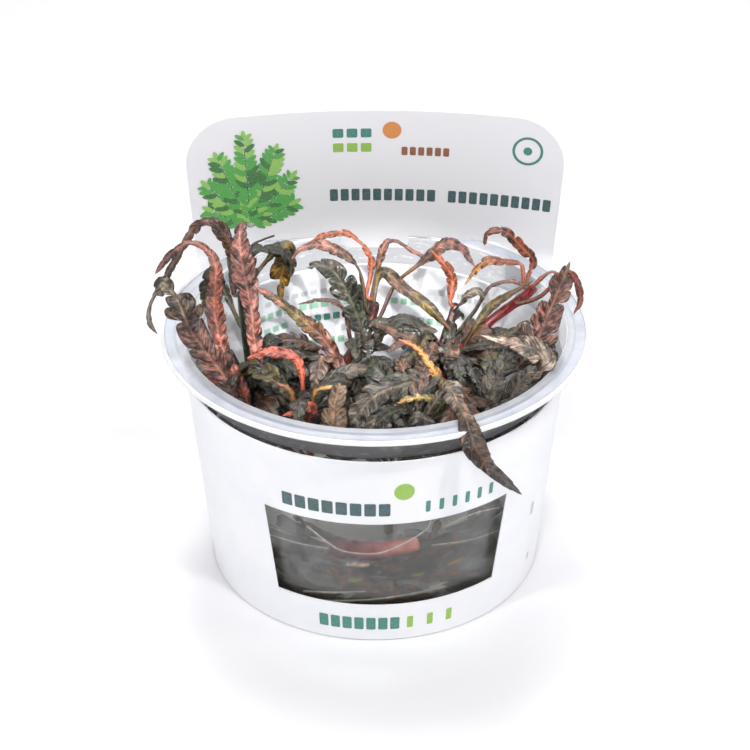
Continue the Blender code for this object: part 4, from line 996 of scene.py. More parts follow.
def add_leaf(bag, line, width, petiole, facing, kind, tints, seed, profile=None, step=0.22, across=13):
    """Loft one lobed, veined and puckered blade along a line."""
    lobe_pitch, waist, gap, sweep, swell, quilt, camber, wave, plain = KINDS[kind]
    luck = np.random.default_rng(seed)
    reach = run_along(line)
    length = reach[-1]
    ahead = directions(line)
    side = unit(smoothed(unit(np.cross(ahead, np.array(facing))), max(1, round(2.5 / (length / len(line))))))
    side = unit(side - ahead * np.sum(side * ahead, axis=1, keepdims=True))
    up = unit(np.cross(side, ahead))
    rows = max(12, round(length / step))
    where = np.linspace(0.0, length, rows + 1)[:, None]
    spread = np.linspace(-1.0, 1.0, across)[None, :]
    wide = np.abs(spread)
    hand = (spread > 0).astype(int)
    part = where / length
    pitch = lobe_pitch * (0.74 + 0.07 * width)
    count = int(length / pitch) + 4
    phase = where / pitch + 0.42 * hand + 0.30 * np.sin(where * 0.55 + seed + 2.1 * hand)
    lobe = np.clip(np.floor(phase).astype(int), 0, count - 1)
    turn = phase - np.floor(phase) - 0.5
    size = luck.uniform(0.66, 1.10, (2, count + 1))[hand + 0 * lobe, lobe]
    tilt = luck.uniform(-1.0, 1.0, (2, count + 1))[hand + 0 * lobe, lobe]
    bump = np.clip(1.0 - np.abs(2.0 * turn / gap) ** 2.4, 0.0, 1.0) ** 0.6
    grown = smooth_step(0.0, 0.08, part - petiole) * (part > petiole)
    notch = 1.0 - (1.0 - waist) * grown * (1.0 - smooth_step(plain, plain + PLAIN_EASE, part))
    half = blade_half(part, width, petiole) * (notch + (1.0 - notch) * bump * size)
    half = half * (1.0 + 0.13 * np.sin(0.42 * where + 1.7 * seed) * grown)
    if profile:
        half = half * np.interp(part, *zip(*profile))
    forward = sweep * wide ** 1.3 * half * grown
    forward = forward + swell * pitch * np.sin(math.tau * turn) * wide ** 2 * grown
    at = np.clip(where + forward, 0.0, None)
    inner = np.minimum(at, length)
    centre, aside, raised = (np.stack([np.interp(inner, reach, along[:, k]) for k in range(3)], -1)
                             for along in (line, side, up))
    centre = centre + np.maximum(0.0, at - length)[..., None] * ahead[-1] * 0.4
    middle = centre + aside * (spread * half)[..., None]
    strength = np.minimum(1.0, half / 1.5) * grown
    off = wide * half
    crease = np.exp(-(off / CREASE_WIDTH) ** 2)
    rib = np.abs(np.sin(math.pi * (where - RIB_SLANT * off + 0.5 * hand) / RIB_PITCH)) ** 0.7
    puff = rib * np.clip(off / 0.6, 0.0, 1.0) * (1.0 - wide ** 8)
    rough = wrinkle(middle, 1.7, seed) + 0.5 * wrinkle(middle, 0.7, seed)
    relief = 0.05 * puff + 0.95 * rough + 0.15
    height = quilt * strength * relief
    height = height - camber * half * wide ** 2
    height = height + wave * half * wide ** 2 * tilt
    height = height + wave * 0.7 * strength * np.sin(math.pi * phase + hand * 1.3) * wide ** 3
    height = height + 0.30 * half * spread * np.sin(0.23 * where + seed) * grown
    height = height - 0.14 * strength * crease
    body = LEAF_THICKNESS / 2 * (1.0 - wide ** 4) * (0.5 + 0.5 * crease) * (1.0 + 0.6 * (1.0 - grown))
    body = np.maximum(body, 0.40 * (1.0 - grown) * np.sqrt(np.clip(1.0 - wide ** 2, 0.0, 1.0)))
    top = middle + raised * (height + body)[..., None]
    under = middle + raised * (height - body)[..., None]
    ring = keep_inside(around(top, under), around(centre, centre))
    side_vein = np.exp(-(turn * pitch / SIDE_VEIN_WIDTH) ** 2) * smooth_step(0.0, 0.25, wide) * grown
    vein = np.maximum(crease, 0.7 * side_vein) * (1.0 - 0.5 * wide ** 3)
    tint = blend_tints(tints, np.clip(part + 0.07 * tilt + 0.16 * rough, 0.0, 1.0))
    # Painted shade and painted light: the tint darkens in the hollows of the relief and lightens on its
    # bumps, and shifts lobe by lobe with each lobe's random tilt
    shade = PAINTED_RELIEF_SHADE * np.clip(relief - 0.25, -0.55, 0.55) * strength
    tint = tint * (1.0 + shade + 0.16 * tilt)[..., None]
    # Painted shade: leaves above the gel grow darker towards the bottom of the cup, where less light reaches
    # among the leaves
    light = PAINTED_DEPTH_SHADE_SHARE + (1.0 - PAINTED_DEPTH_SHADE_SHARE) * smooth_step(*PAINTED_DEPTH_SHADE, middle[..., 2])
    tint = tint * np.where(middle[..., 2] > GEL_TOP, light, 1.0)[..., None]
    # The lower side: more olive, the leaf's own underside tone, and darker as painted shade under the blade
    below = 0.55 * tint + 0.30 * np.array(TINTS["olive"])
    vein_u = where - RIB_SLANT * off + 17.3 * seed + 9.1 * hand
    vein_v = spread * half
    bag.add_tube(ring, tint=around(tint, below), vein=around(vein, 0.8 * vein),
                 vein_u=around(vein_u, vein_u), vein_v=around(vein_v, vein_v))


def add_stem(bag, line, radius, tints, seed, sides=16):
    """A stem: a tapering tube with slightly swollen joints."""
    ahead = directions(line)
    side = unit(np.cross(ahead, np.array((0.3, -1.0, 0.1))))
    up = np.cross(side, ahead)
    part = np.linspace(0.0, 1.0, len(line))
    run = np.arange(len(line)) * np.linalg.norm(line[1] - line[0])
    joint = np.exp(-((run % JOINT_PITCH) - JOINT_PITCH / 2) ** 2 / 0.9)
    size = radius * (1.0 - 0.25 * part) * (1.0 + 0.16 * joint)
    size[-1] *= 0.7
    angle = np.linspace(0.0, math.tau, sides, endpoint=False)[None, :]
    flute = 1.0 + 0.05 * np.cos(4 * angle + 0.2 * run[:, None] + seed)
    ring = side[:, None] * np.cos(angle)[..., None] + up[:, None] * np.sin(angle)[..., None]
    ring = line[:, None] + ring * (size[:, None] * flute)[..., None]
    tint = blend_tints(tints, part) * (1.0 - 0.35 * joint[:, None])
    tint = np.broadcast_to(tint[:, None], ring.shape)
    bag.add_tube(ring, tint=tint)


# Stems: record slot, tints from foot to tip, radius and route
STEMS = {
    "left_stem": ("stem_green", ("black", "green"), 0.9, [
        (-22, -11, 12), (-22, -11, 25), (-24.5, -12.5, 34), (-27, -12.5, 45), (-28, -8, 54),
        (-29, -5, 63), (-29.5, -3, 69)]),
    "coral_stem": ("stem_maroon", ("brown", "rust"), 0.9, [
        (-13, -17, 12), (-13, -17, 25), (-14, -18.5, 35), (-15.5, -21, 45), (-15.5, -22.5, 50)]),
    "middle_stem": ("stem_maroon", ("maroon", "maroon"), 1.4, [
        (-7, 2, 12), (-7, 2, 25), (-8, 2, 35), (-7.5, 3, 45), (-4, 5, 50.5), (-1, 8, 55),
        (0, 10, 59)]),
    "right_stem": ("stem_crimson", ("crimson", "crimson"), 1.4, [
        (9, -2, 12), (9, -2, 25), (11, -3, 37), (15.5, -2, 47.5), (19, 0, 51), (24.5, 3, 56.5),
        (29, 5, 59.5), (33, 7, 61.5), (36, 8, 64)]),
    "right_dark_stem": ("stem_maroon", ("maroon", "maroon"), 1.1, [
        (15, 8, 12), (15, 8, 25), (14, 5, 38), (14.5, 4, 47), (16, 6, 53), (18.5, 10, 58.5)]),
    "front_stem": ("stem_green", ("olive", "olive"), 1.0, [
        (3, -22, 12), (3, -22, 25), (5, -24, 35), (7.5, -25, 46), (9.5, -25.5, 51)]),
    "right_front_stem": ("stem_green", ("olive", "grey"), 1.0, [
        (22, -18, 12), (22, -18, 25), (24, -20, 34), (26, -21.5, 45), (27, -21.5, 50)]),
}

# Leaves: name, record slot, width, petiole share, facing, the stem and the height
# where the leaf grows out of it, its kind, tints from foot to tip, and its route
LEAVES = (
    ("left_arching_leaf", "leaf_brown", 3.6, 0.0, UP, "left_stem", 68.0,
     "strap", ("brown", "brown", "silver"), [
        (-31, 0, 76), (-33, 1, 81.5), (-36, 2, 83.5), (-39.5, 2, 81.5), (-43, 1, 75.5),
        (-47, 0, 69), (-49.5, -1, 64.5), (-50, -1, 60), (-48.5, -1, 57)]),
    ("left_long_pink_leaf", "leaf_pink", 3.8, 0.1, VIEW, "left_stem", 41.0,
     "strap", ("salmon", "coral", "pink", "rust", "mauve", "maroon"), [
        (-27.5, -17.5, 49), (-29, -17, 53.5), (-32, -15, 59), (-34, -12, 65), (-34.5, -10, 71),
        (-34, -8, 77.5), (-36, -6, 81), (-40, -5, 82), (-44, -5, 79), (-47.5, -5, 74.5)]),
    ("left_upright_leaf", "leaf_pink", 4.4, 0.15, VIEW, "left_stem", 37.0,
     "strap", ("rust", "orange", "pink", "mauve", "mauve", "mauve"), [
        (-24.5, -15.5, 44), (-25.5, -14.5, 50), (-25.5, -13, 55.5), (-26, -12, 60.5), (-26.5, -10, 67),
        (-27.5, -8, 72.5), (-28.5, -6, 78), (-29, -3, 81.5), (-29, 2, 83), (-29, 10, 78)]),
    ("left_grey_leaf", "leaf_grey_brown", 8.0, 0.3, VIEW, "left_stem", 38.0,
     "pinnate", ("olive", "taupe", "mauve", "taupe", "silver"), [
        (-29, -18, 48), (-31, -19, 53), (-32.5, -18.5, 57), (-36, -17.5, 62), (-39.5, -16, 67.5),
        (-42, -14, 73), (-45, -12, 76), (-46, -12, 73)]),
    ("left_back_leaf", "leaf_dark_green", 3.4, 0.2, VIEW, "left_stem", 61.0,
     "ruffled", ("olive", "green", "olive"), [
        (-33.5, 3, 66), (-36, 6, 68), (-38, 8, 62), (-38, 9, 55)]),
    ("left_low_red_leaf", "leaf_coral", 3.4, 0.25, VIEW, "left_stem", 43.5,
     "ruffled", ("olive", "coral", "maroon"), [
        (-31, -16.5, 50), (-34, -17.5, 54), (-36, -16, 58), (-38.5, -13.5, 62), (-40, -12.5, 64.5)]),
    ("left_dark_leaf", "leaf_dark_green", 4.4, 0.1, UP, "left_stem", 66.0,
     "ruffled", ("black", "green", "grey"), [
        (-27.5, 4, 74), (-24, 7, 74), (-21, 9, 72.5), (-19, 10, 69), (-19, 10, 65.5)]),
    ("left_curled_leaf", "leaf_dark_green", 0.9, 0.1, UP, "left_stem", 68.6,
     "smooth", ("maroon", "maroon", "black"), [
        (-28, 1, 74.5), (-27, 3, 77), (-24.5, 4, 78), (-22, 5, 78.5)]),
    ("left_hanging_leaf", "leaf_olive", 5.0, 0.45, VIEW, "left_stem", 63.0,
     "drops", ("olive", "olive", "gold"), [
        (-27, 6, 67), (-22.5, 11, 71), (-19.5, 13.2, 71), (-20.5, 14, 66.5), (-21.5, 14, 61.5),
        (-21.5, 13.5, 57)]),
    ("long_red_leaf", "leaf_orange", 3.6, 0.2, VIEW, "middle_stem", 41.0,
     "strap", ("rust", "salmon", "rust", "brown", "olive", "mauve"), [
        (-6.5, -5, 46), (-7, -8, 50), (-8.5, -7, 54), (-11.5, -6, 59), (-16.5, -5, 63.5),
        (-21, -4, 67), (-26, -3, 70)]),
    ("coral_leaf", "leaf_coral", 2.8, 0.35, UP, "coral_stem", 49.5,
     "strap", ("rust", "coral", "coral"), [
        (-15.5, -22, 58.5), (-16.5, -22, 63), (-19.5, -22, 65), (-23.5, -22, 65), (-27, -22, 63.5)]),
    ("yellow_leaf_left", "leaf_yellow", 1.6, 0.1, VIEW, "coral_stem", 48.0,
     "beaded", ("yellow", "yellow", "orange"), [
        (-18, -24, 56.5), (-21, -23, 58)]),
    ("yellow_leaf_right", "leaf_yellow", 1.6, 0.1, VIEW, "coral_stem", 47.5,
     "beaded", ("yellow", "yellow", "yellow"), [
        (-12.5, -24, 56.5), (-7.5, -24, 57.5)]),
    ("coral_low_leaf", "leaf_coral", 2.8, 0.2, VIEW, "coral_stem", 46.0,
     "ruffled", ("coral", "coral", "coral"), [
        (-13.5, -28, 54.5), (-14.5, -30, 56), (-16.5, -30.5, 55.5), (-19.5, -30.5, 54.5)]),
    ("orange_arching_leaf", "leaf_orange", 2.6, 0.2, UP, "middle_stem", 58.6,
     "beaded", ("rust", "orange", "rust"), [
        (-1, 12, 64.5), (-1, 13, 69), (-4.5, 14, 73), (-8, 14, 74.5), (-12, 13, 74), (-15, 13, 72)]),
    ("grey_arching_leaf", "leaf_grey_brown", 2.8, 0.3, UP, "middle_stem", 56.5,
     "strap", ("black", "taupe", "mauve"), [
        (-3, 8.5, 65.5), (-4.5, 8, 70), (-8, 8, 73), (-12.5, 8, 74.5), (-16.5, 8, 73.5), (-18.5, 8, 71)]),
    ("dark_arching_leaf", "leaf_brown", 2.4, 0.35, UP, "middle_stem", 57.0,
     "strap", ("maroon", "brown", "mauve"), [
        (1, 15, 66.5), (2.5, 17, 70), (5, 18, 70), (8.5, 18, 67.5), (12.5, 18, 65.5)]),
    ("lance_leaf", "leaf_olive", 4.0, 0.2, VIEW, "middle_stem", 58.0,
     "lance", ("black", "olive", "brown", "olive", "brown"), [
        (0.8, 9, 66), (2.5, 8, 67.5), (6.5, 6, 64.5), (12, 4, 61), (17, 2, 56)]),
    ("brown_arching_leaf", "leaf_brown", 3.8, 0.45, UP, "middle_stem", 55.5,
     "strap", ("maroon", "brown", "mauve"), [
        (4.5, 14, 61), (8.5, 15, 64.5), (12, 16, 67), (16, 16, 70.5), (19.5, 16, 69.5), (23, 16.5, 64)]),
    ("glossy_dark_leaf", "leaf_dark_green", 6.4, 0.35, VIEW, "middle_stem", 39.0,
     "pinnate", ("green", "black", "green", "grey"), [
        (-3.5, -1, 45), (-1.5, -2, 49), (-2, 0, 54), (-4, 2, 60), (-6.5, 3, 66), (-9, 4, 70),
        (-12, 4, 71.5), (-15, 4, 71)]),
    ("maroon_side_leaf", "leaf_maroon", 2.4, 0.2, UP, "middle_stem", 50.0,
     "beaded", ("maroon", "brown", "maroon"), [
        (-6.5, 5, 58), (-8, 4.5, 61.5), (-12.5, 4.5, 62.5), (-17, 3.5, 62)]),
    ("olive_back_leaf", "leaf_olive", 4.0, 0.3, VIEW, "middle_stem", 40.0,
     "smooth", ("olive", "olive", "lime"), [
        (-4, 14, 44), (-2.5, 17.5, 49), (-3, 19, 55), (-4.5, 20, 58)]),
    ("dark_bent_leaf", "leaf_dark_green", 4.4, 0.15, UP, "middle_stem", 46.5,
     "lance", ("black", "green", "grey"), [
        (-1.5, 2, 51), (2, 2, 56.5), (6, 3, 58.5), (10, 3, 57), (13, 1, 53)]),
    ("yellow_coral_leaf", "leaf_yellow", 2.4, 0.2, VIEW, "front_stem", 46.0,
     "beaded", ("olive", "olive", "gold", "gold", "coral"), [
        (14, -23.5, 47), (16.5, -22, 50.5), (15, -20, 55), (12, -18, 59), (9, -16, 62.5), (5, -15, 64)]),
    ("front_grey_leaf", "leaf_grey_green", 3.4, 0.45, VIEW, "middle_stem", 37.0,
     "lance", ("grey", "silver", "grey"), [
        (-9, -9, 46), (-10.5, -15, 52), (-8, -16, 55), (-3, -14.5, 56), (2, -13, 53.5)]),
    ("front_broad_leaf", "leaf_grey_green", 7.6, 0.2, VIEW, "front_stem", 49.5,
     "ruffled", ("grey", "grey", "silver"), [
        (9, -20.5, 56), (4.5, -22, 56.5), (-0.5, -25, 55.5), (-5, -28, 51)]),
    ("front_gold_leaf", "leaf_olive", 6.4, 0.45, VIEW, "front_stem", 41.0,
     "ruffled", ("taupe", "gold", "taupe"), [
        (-2, -29, 43), (-8, -32, 46.5), (-8.7, -31, 51), (-8.5, -28, 55), (-7.5, -24, 58.5)]),
    ("dark_leaf_upper", "leaf_dark_green", 4.0, 0.45, VIEW, "right_stem", 41.5,
     "lance", ("black", "green", "silver"), [
        (7, -7, 46), (5, -9.5, 51), (10, -7.5, 55.5), (15, -6, 56)]),
    ("dark_leaf_lower", "leaf_dark_green", 4.0, 0.5, VIEW, "right_stem", 38.0,
     "lance", ("black", "green", "green"), [
        (8, -12, 44), (6, -15, 50), (10, -13, 54), (14, -11, 55)]),
    ("front_yellow_leaf", "leaf_yellow", 2.2, 0.15, VIEW, "front_stem", 50.0,
     "beaded", ("lime", "lime", "yellow"), [
        (14, -26.5, 55), (10.5, -27.5, 57), (7, -28, 57), (4, -29, 56)]),
    ("rim_leaf_left", "leaf_grey_green", 4.4, 0.4, UP, "front_stem", 44.0,
     "smooth", ("grey", "grey", "silver"), [
        (0.5, -31, 49.5), (-2.5, -35, 54), (0, -35.5, 56.5), (3.5, -36, 55.5)]),
    ("rim_leaf_right", "leaf_grey_green", 4.4, 0.3, UP, "front_stem", 47.5,
     "smooth", ("green", "grey", "grey"), [
        (6.5, -33, 53.5), (8.5, -34, 56.5), (12.5, -34, 55)]),
    ("small_green_leaf", "leaf_yellow", 2.8, 0.45, VIEW, "front_stem", 48.5,
     "smooth", ("gold", "lime", "lime"), [
        (16.5, -29, 53), (18, -28.5, 57), (16.5, -27, 60.5)]),
    ("orange_lobed_leaf", "leaf_orange", 2.8, 0.1, VIEW, "right_dark_stem", 58.0,
     "beaded", ("rust", "orange", "rust"), [
        (17.5, 11, 64), (15.5, 11, 68), (12.5, 11, 71.5)]),
    ("silver_drooping_leaf", "leaf_grey_green", 3.2, 0.1, UP, "right_dark_stem", 57.0,
     "ruffled", ("grey", "silver", "silver"), [
        (20, 5, 63), (23, 5, 64.5), (24.5, 5, 62.5)]),
    ("lilac_arching_leaf", "leaf_grey_brown", 2.4, 0.45, UP, "right_dark_stem", 52.0,
     "strap", ("taupe", "grey", "mauve"), [
        (22.5, 9, 57), (25, 9, 62), (27, 9, 64), (30, 8.5, 65), (32, 8.2, 64.8), (33.5, 8, 64)]),
    ("orange_bridge_leaf", "leaf_orange", 2.6, 0.25, UP, "right_stem", 63.0,
     "beaded", ("rust", "orange", "yellow"), [
        (33, 12.5, 67), (29.5, 13, 67.5), (26, 13.5, 67.5), (23.5, 13.5, 66), (20.5, 13.5, 61.5)]),
    ("right_tall_leaf", "leaf_orange", 3.0, 0.1, VIEW, "right_stem", 63.6,
     "beaded", ("rust", "rust", "brown"), [
        (35.5, 10.5, 69), (33.5, 11, 71.5), (31.5, 11.5, 73.5), (29.5, 12, 75.5), (27, 12, 76),
        (25, 12, 75), (24.5, 12, 72)]),
    ("right_arching_leaf", "leaf_orange", 2.0, 0.1, UP, "right_stem", 63.2,
     "strap", ("rust", "orange", "brown"), [
        (38, 7, 67.5), (39.5, 6.5, 68.5), (42, 5.5, 68)]),
    ("right_broad_leaf", "leaf_pale_pink", 8.0, 0.4, VIEW, "right_stem", 45.0,
     "lobed", ("taupe", "rust", "blush", "mauve", "taupe"), [
        (24, -8, 48), (31, -9, 53), (35, -8, 58.5), (38, -5.5, 65), (40.5, -3, 70.5), (42.5, -1, 75.5)]),
    ("right_small_red_leaf", "leaf_coral", 1.8, 0.35, VIEW, "right_stem", 60.5,
     "strap", ("taupe", "crimson", "rust"), [
        (37, 3, 64.5), (42, 3.5, 70), (44.5, 2.5, 68.5), (45.5, 1.5, 64), (44.2, 1.5, 60.5)]),
    ("pale_lying_leaf", "leaf_pale_pink", 4.8, 0.25, UP, "right_front_stem", 48.5,
     "soft", ("orange", "rust", "blush", "beige", "blush", "beige"), [
        (32, -20, 56), (36, -19.5, 60.5), (34.5, -19, 63.5), (31, -18, 64.5), (26.5, -17, 65),
        (22.5, -16, 65.5)]),
    ("right_olive_leaf", "leaf_olive", 2.8, 0.1, VIEW, "right_stem", 52.0,
     "lance", ("brown", "olive", "brown"), [
        (22, -2, 59), (25.5, 0, 63.2), (29.5, 1, 65.8), (33, 2.5, 67.2), (35, 3.5, 68)]),
    ("right_under_leaf", "leaf_olive", 3.8, 0.15, VIEW, "right_stem", 49.0,
     "ruffled", ("gold", "taupe", "olive"), [
        (22, -6, 52), (25.5, -6.5, 55.5), (30, -5, 59.5), (34, -3.5, 61.5)]),
    ("silver_leaf_tall", "leaf_grey_green", 6.0, 0.1, VIEW, "right_front_stem", 46.5,
     "ruffled", ("grey", "silver", "grey"), [
        (24, -21.5, 53), (26.5, -19, 58), (29, -17, 61), (31, -15, 62.5)]),
    ("silver_leaf_low", "leaf_grey_green", 4.4, 0.15, VIEW, "right_front_stem", 45.0,
     "ruffled", ("grey", "grey", "silver"), [
        (28.5, -25, 54.5), (31, -24, 59), (34, -22.5, 62)]),
    ("right_back_leaf", "leaf_grey_green", 4.4, 0.5, VIEW, "right_front_stem", 43.0,
     "ruffled", ("green", "grey", "grey"), [
        (33, -15, 49), (37.5, -12.5, 53.5), (38.5, -10, 57.5), (37.5, -9, 60)]),
    ("right_low_leaf", "leaf_grey_brown", 3.6, 0.3, VIEW, "right_front_stem", 40.0,
     "ruffled", ("green", "taupe", "grey"), [
        (23, -27, 49), (24.5, -28.5, 53.5), (28, -28.5, 56), (31.5, -26.5, 56.5)]),
    ("middle_filling_leaf", "leaf_brown", 3.4, 0.3, UP, "right_stem", 47.5,
     "ruffled", ("black", "brown", "grey"), [
        (18.5, -6.5, 53), (22, -8.5, 54.5), (26.5, -9, 52.5)]),
    ("overhanging_leaf", "leaf_grey_brown", 4.6, 0.2, VIEW, "front_stem", 50.6,
     "half_lobed", ("silver", "silver", "taupe", "brown", "brown"), [
        (14.5, -30, 60.5), (16, -33, 62), (17, -37, 61.7), (18.5, -41, 60.7), (20, -45.5, 57.5),
        (22.5, -46.5, 53.5), (26, -45.5, 49), (30.5, -43.5, 43.5)]),
)


def make_plants():
    """Every stem and every leaf that shows, each in place of its CAD solid."""
    skin = stem_finish()
    for number, (name, (slot, tints, radius, route)) in enumerate(STEMS.items()):
        bag = Bag()
        add_stem(bag, curve_through(route, 0.5), radius, tints, number)
        bag.make(name + "_skin", skin, [name])
    blade = leaf_finish()
    for number, leaf in enumerate(LEAVES):
        name, slot, width, petiole, facing, stem, height, kind, tints, route = leaf
        bag = Bag()
        line = curve_through(leaf_root(stem, height, route[0]) + route, 0.25)
        add_leaf(bag, line, width, petiole, facing, kind, tints, number, PROFILES.get(name))
        bag.make(name + "_blade", blade, [name])
    return skin, blade


UNDERGROWTH_KINDS = ("ruffled", "lance", "lobed", "beaded", "pinnate")
UNDERGROWTH_TINTS = (
    ("black", "green", "grey"), ("black", "green", "black"), ("green", "green", "grey"),
    ("black", "brown", "taupe"), ("maroon", "brown", "brown"), ("black", "olive", "olive"),
    ("black", "black", "green"), ("black", "green", "green"),
)


def fill_cup(blade):
    """The dense undergrowth: leaves that grow from the stems below the rim."""
    luck = np.random.default_rng(UNDERGROWTH_SEED)
    for group, stem in enumerate(STEMS):
        bag = Bag()
        stem_line = curve_through(STEMS[stem][-1], 0.5)
        for number in range(UNDERGROWTH_COUNT):
            height = luck.uniform(*UNDERGROWTH_HEIGHTS)
            at = stem_line[int(np.argmin(np.abs(stem_line[:, 2] - height)))]
            compass = luck.uniform(0.0, math.tau)
            if at[1] > 0.0 and math.sin(compass) > 0.3:
                compass = -compass
            out = np.array((math.cos(compass), math.sin(compass), 0.0))
            length = luck.uniform(10.0, 22.0)
            rise = luck.uniform(0.25, 0.9) * length
            points = [at, at + out * 0.25 * length + (0, 0, 0.5 * rise),
                      at + out * 0.65 * length + (0, 0, rise),
                      at + out * length + (0, 0, rise * luck.uniform(0.4, 1.0))]
            points = np.array(points)
            points[:, 2] = np.minimum(points[:, 2], UNDERGROWTH_TOP)
            points = keep_inside(points, points * 0.0, 2.0)
            facing = unit(np.array((luck.uniform(-0.5, 0.5), luck.uniform(-0.9, 0.0), 1.0)))
            kind = UNDERGROWTH_KINDS[int(luck.integers(len(UNDERGROWTH_KINDS)))]
            width = luck.uniform(2.8, 6.4)
            tints = UNDERGROWTH_TINTS[int(luck.integers(len(UNDERGROWTH_TINTS)))]
            add_leaf(bag, curve_through([tuple(p) for p in points], 0.4), width, 0.2, facing, kind,
                     tints, 100 * group + number, step=0.4, across=11)
        bag.make("undergrowth_of_" + stem, blade)


def on_wall(degrees, height, inset=0.35):
    """A point just inside the cup's wall, at an angle from the front."""
    radius = cup_radius(height) - CUP_WALL - inset
    angle = math.radians(degrees)
    return (radius * math.sin(angle), -radius * math.cos(angle), height)


# Wet lines where gel and drops meet the wall, in a bright pale colour that is painted highlight: angle from
# the front, height
WET_HIGHLIGHT_LINES = (
    ((-37.5, 23.7), (-25.0, 24.4), (-15.0, 24.8)),
    ((-22.0, 30.0), (-15.0, 26.4), (-9.8, 24.6), (0.0, 24.4), (8.0, 26.5), (16.0, 29.8), (18.0, 33.0)),
    ((18.5, 25.2), (32.5, 23.5), (45.5, 22.0)),
    ((22.0, 29.6), (33.0, 30.8), (44.5, 28.8)),
    ((-25.0, 10.6), (-14.0, 12.2), (-3.2, 13.4)),
    ((-20.0, 8.8), (-8.0, 10.4), (6.0, 11.6), (24.8, 12.1)),
)
# Small loose bits behind the window: angle, height, length, width and tint
LOOSE_BITS = (
    (-6.5, 16.4, 3.2, 1.5, "lime"), (14.5, 17.2, 2.8, 1.6, "lime"), (-5.5, 20.8, 5.0, 1.3, "beige"),
    (28.0, 18.4, 4.0, 0.9, "gold"), (22.0, 12.8, 4.5, 0.8, "beige"), (37.0, 26.4, 4.5, 1.2, "gold"),
)
# The red stem that lies on the gel, and a coral scrap: angle, height, depth behind the wall
LYING_STEM = ((-15.0, 23.2, 4.0), (-8.0, 23.9, 2.6), (2.0, 24.2, 2.4), (15.0, 24.6, 3.0))
CORAL_BIT = ((18.5, 26.6, 1.4), (20.0, 28.8, 1.2), (21.5, 31.0, 1.6))
SUNKEN_KINDS = ("ruffled", "lance", "pinnate", "smooth", "strap")
SUNKEN_TINTS = (
    ("black", "green", "black"), ("black", "black", "green"), ("olive", "black", "brown"),
    ("black", "brown", "taupe"), ("green", "grey", "black"),
)


def round_wall(degrees, run):
    """The angle that lies a distance in millimetres further round the wall."""
    return degrees + math.degrees(run / WALL_ARC_RADIUS)


def fill_gel(blade, stem_skin):
    """What shows through the window: sunken leaves, a lying stem, painted-highlight wet lines and bits."""
    luck = np.random.default_rng(SUNKEN_SEED)
    bag = Bag()
    for number in range(SUNKEN_COUNT):
        degrees = luck.uniform(-18.0, 62.0) if number % 4 else luck.uniform(-60.0, -12.0)
        height = luck.uniform(4.5, 22.0) if number % 4 else luck.uniform(3.0, 11.0)
        depth = luck.uniform(0.6, 9.0)
        length = luck.uniform(9.0, 20.0) * luck.choice((-1.0, 1.0))
        tilt = luck.uniform(-0.45, 0.45)
        line = [on_wall(round_wall(degrees, length * k), height + length * tilt * k, depth + 2.0 * k * k)
                for k in (0.0, 0.35, 0.7, 1.0)]
        line = [(x, y, min(SUNKEN_HEIGHTS[1], max(SUNKEN_HEIGHTS[0], z))) for x, y, z in line]
        facing = unit(np.array((luck.uniform(-0.5, 0.5), -1.0, luck.uniform(0.0, 1.2))))
        kind = SUNKEN_KINDS[int(luck.integers(len(SUNKEN_KINDS)))]
        width = luck.uniform(2.4, 6.0)
        tints = SUNKEN_TINTS[int(luck.integers(len(SUNKEN_TINTS)))]
        add_leaf(bag, curve_through(line, 0.4), width, 0.12, facing, kind, tints,
                 SUNKEN_LEAF_SEED + number, step=0.45, across=9)
    for number, (degrees, height, length, width, tint) in enumerate(LOOSE_BITS):
        line = [on_wall(round_wall(degrees, length * k), height + 0.5 * k, 0.7) for k in (-0.5, 0.0, 0.5)]
        add_leaf(bag, curve_through(line, 0.3), width, 0.0, (0.2, -1.0, 0.5), "smooth", (tint, tint),
                 LOOSE_BIT_SEED + number)
    line = curve_through([on_wall(*point) for point in CORAL_BIT], 0.3)
    add_leaf(bag, line, 2.0, 0.1, (0.3, -1.0, 0.3), "beaded", ("coral", "orange", "yellow"), CORAL_BIT_SEED)
    bag.make("sunken_leaves", blade)
    bag = Bag()
    line = curve_through([on_wall(*point) for point in LYING_STEM], 0.5)
    add_stem(bag, line, 1.7, ("maroon", "crimson", "pink"), 3)
    bag.make("lying_stem", stem_skin)
    bag = Bag()
    for points in WET_HIGHLIGHT_LINES:
        line = curve_through([on_wall(*point, 0.3) for point in points], 0.5)
        add_stem(bag, line, 0.17, ("beige", "beige"), 0, 6)
    bag.make("wet_highlight_lines", wet_highlight_finish())


# Stage

FLOOR_SIZE = 6000.0
WORLD_STRENGTH = 0.19
# Square lamps: place, width and power
LAMPS = (
    ("top_softbox", (-60.0, 330.0, 1000.0), 220.0, 3.5),
    ("back_softbox", (40.0, 700.0, 800.0), 420.0, 2.6),
    ("front_softbox", (-80.0, -700.0, 700.0), 190.0, 2.8),
    ("key_lamp", (260.0, -420.0, 860.0), 60.0, 2.4),
    ("left_key_lamp", (-420.0, -400.0, 800.0), 55.0, 1.5),
    ("left_softbox", (-850.0, -150.0, 420.0), 220.0, 0.95),
    ("right_softbox", (870.0, -120.0, 420.0), 220.0, 1.9),
)
LAMP_AIM = (0.0, 0.0, 40.0)
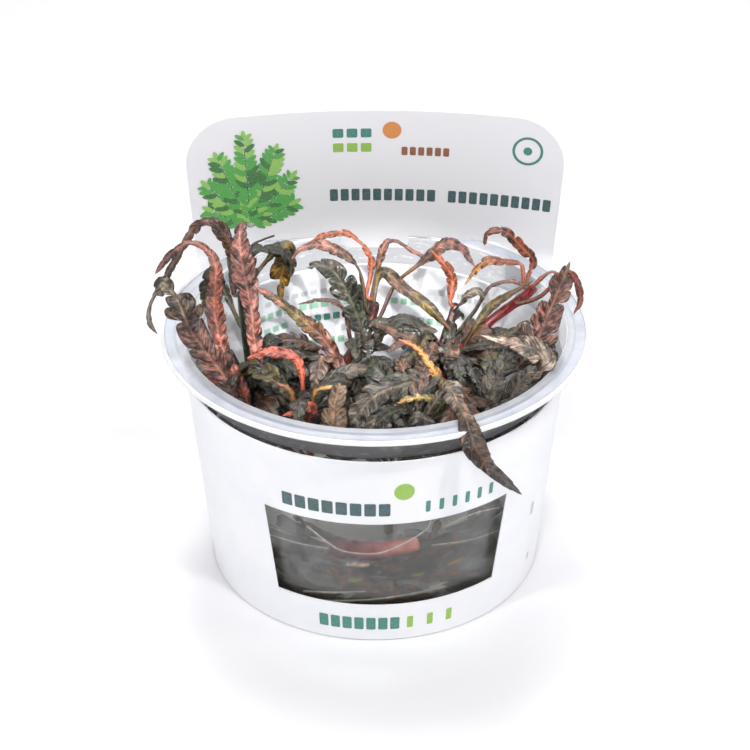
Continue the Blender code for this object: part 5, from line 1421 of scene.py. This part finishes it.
# Narrow lamps that shine through the mouth onto the back wall: place and aim
MOUTH_SPOTS = (
    ((-260.0, -650.0, 560.0), (17.0, 38.0, 28.0)), ((20.0, -700.0, 560.0), (0.0, 40.0, 29.0)),
    ((280.0, -640.0, 560.0), (-17.0, 38.0, 28.0)),
)
SPOT_POWER = 22.0
SPOT_ANGLE = 3.1
SPOT_BLEND = 0.3
SPOT_RADIUS = 10.0


def set_up(thing, start, aim):
    """Put a lamp or the camera in its place and turn it to its aim."""
    thing.location = Vector(start) * MM
    thing.rotation_euler = (Vector(aim) - Vector(start)).to_track_quat("-Z", "Y").to_euler()


def make_stage():
    """A pale floor, soft light from all sides, and the photo's camera."""
    bpy.ops.mesh.primitive_plane_add(size=FLOOR_SIZE * MM)
    floor = bpy.context.object
    floor.name = "floor"
    floor.data.materials.append(floor_finish())
    scene = bpy.context.scene
    world = bpy.data.worlds.new("studio")
    world.use_nodes = True
    sky = world.node_tree.nodes["Background"]
    sky.inputs["Color"].default_value = (1.0, 1.0, 1.0, 1.0)
    sky.inputs["Strength"].default_value = WORLD_STRENGTH
    scene.world = world
    for name, spot, size, power in LAMPS:
        light = bpy.data.lights.new(name, "AREA")
        light.shape = "SQUARE"
        light.size = size * MM
        light.energy = power
        set_up(new_object(name, light), spot, LAMP_AIM)
    for number, (start, aim) in enumerate(MOUTH_SPOTS):
        beam = bpy.data.lights.new("mouth_spot", "SPOT")
        beam.energy = SPOT_POWER
        beam.spot_size = math.radians(SPOT_ANGLE)
        beam.spot_blend = SPOT_BLEND
        beam.shadow_soft_size = SPOT_RADIUS * MM
        set_up(new_object(f"mouth_spot_{number}", beam), start, aim)
    lens = bpy.data.cameras.new("camera")
    lens.sensor_width = SENSOR
    lens.lens = LENS
    lens.clip_start = 0.01
    camera = new_object("camera", lens)
    set_up(camera, CAMERA_PLACE, CAMERA_AIM)
    scene.camera = camera
    scene.view_settings.view_transform = "Standard"


make_stage()
make_cup()
make_gel()
make_card()
make_printing()
stem_skin, leaf_skin = make_plants()
fill_cup(leaf_skin)
fill_gel(leaf_skin, stem_skin)
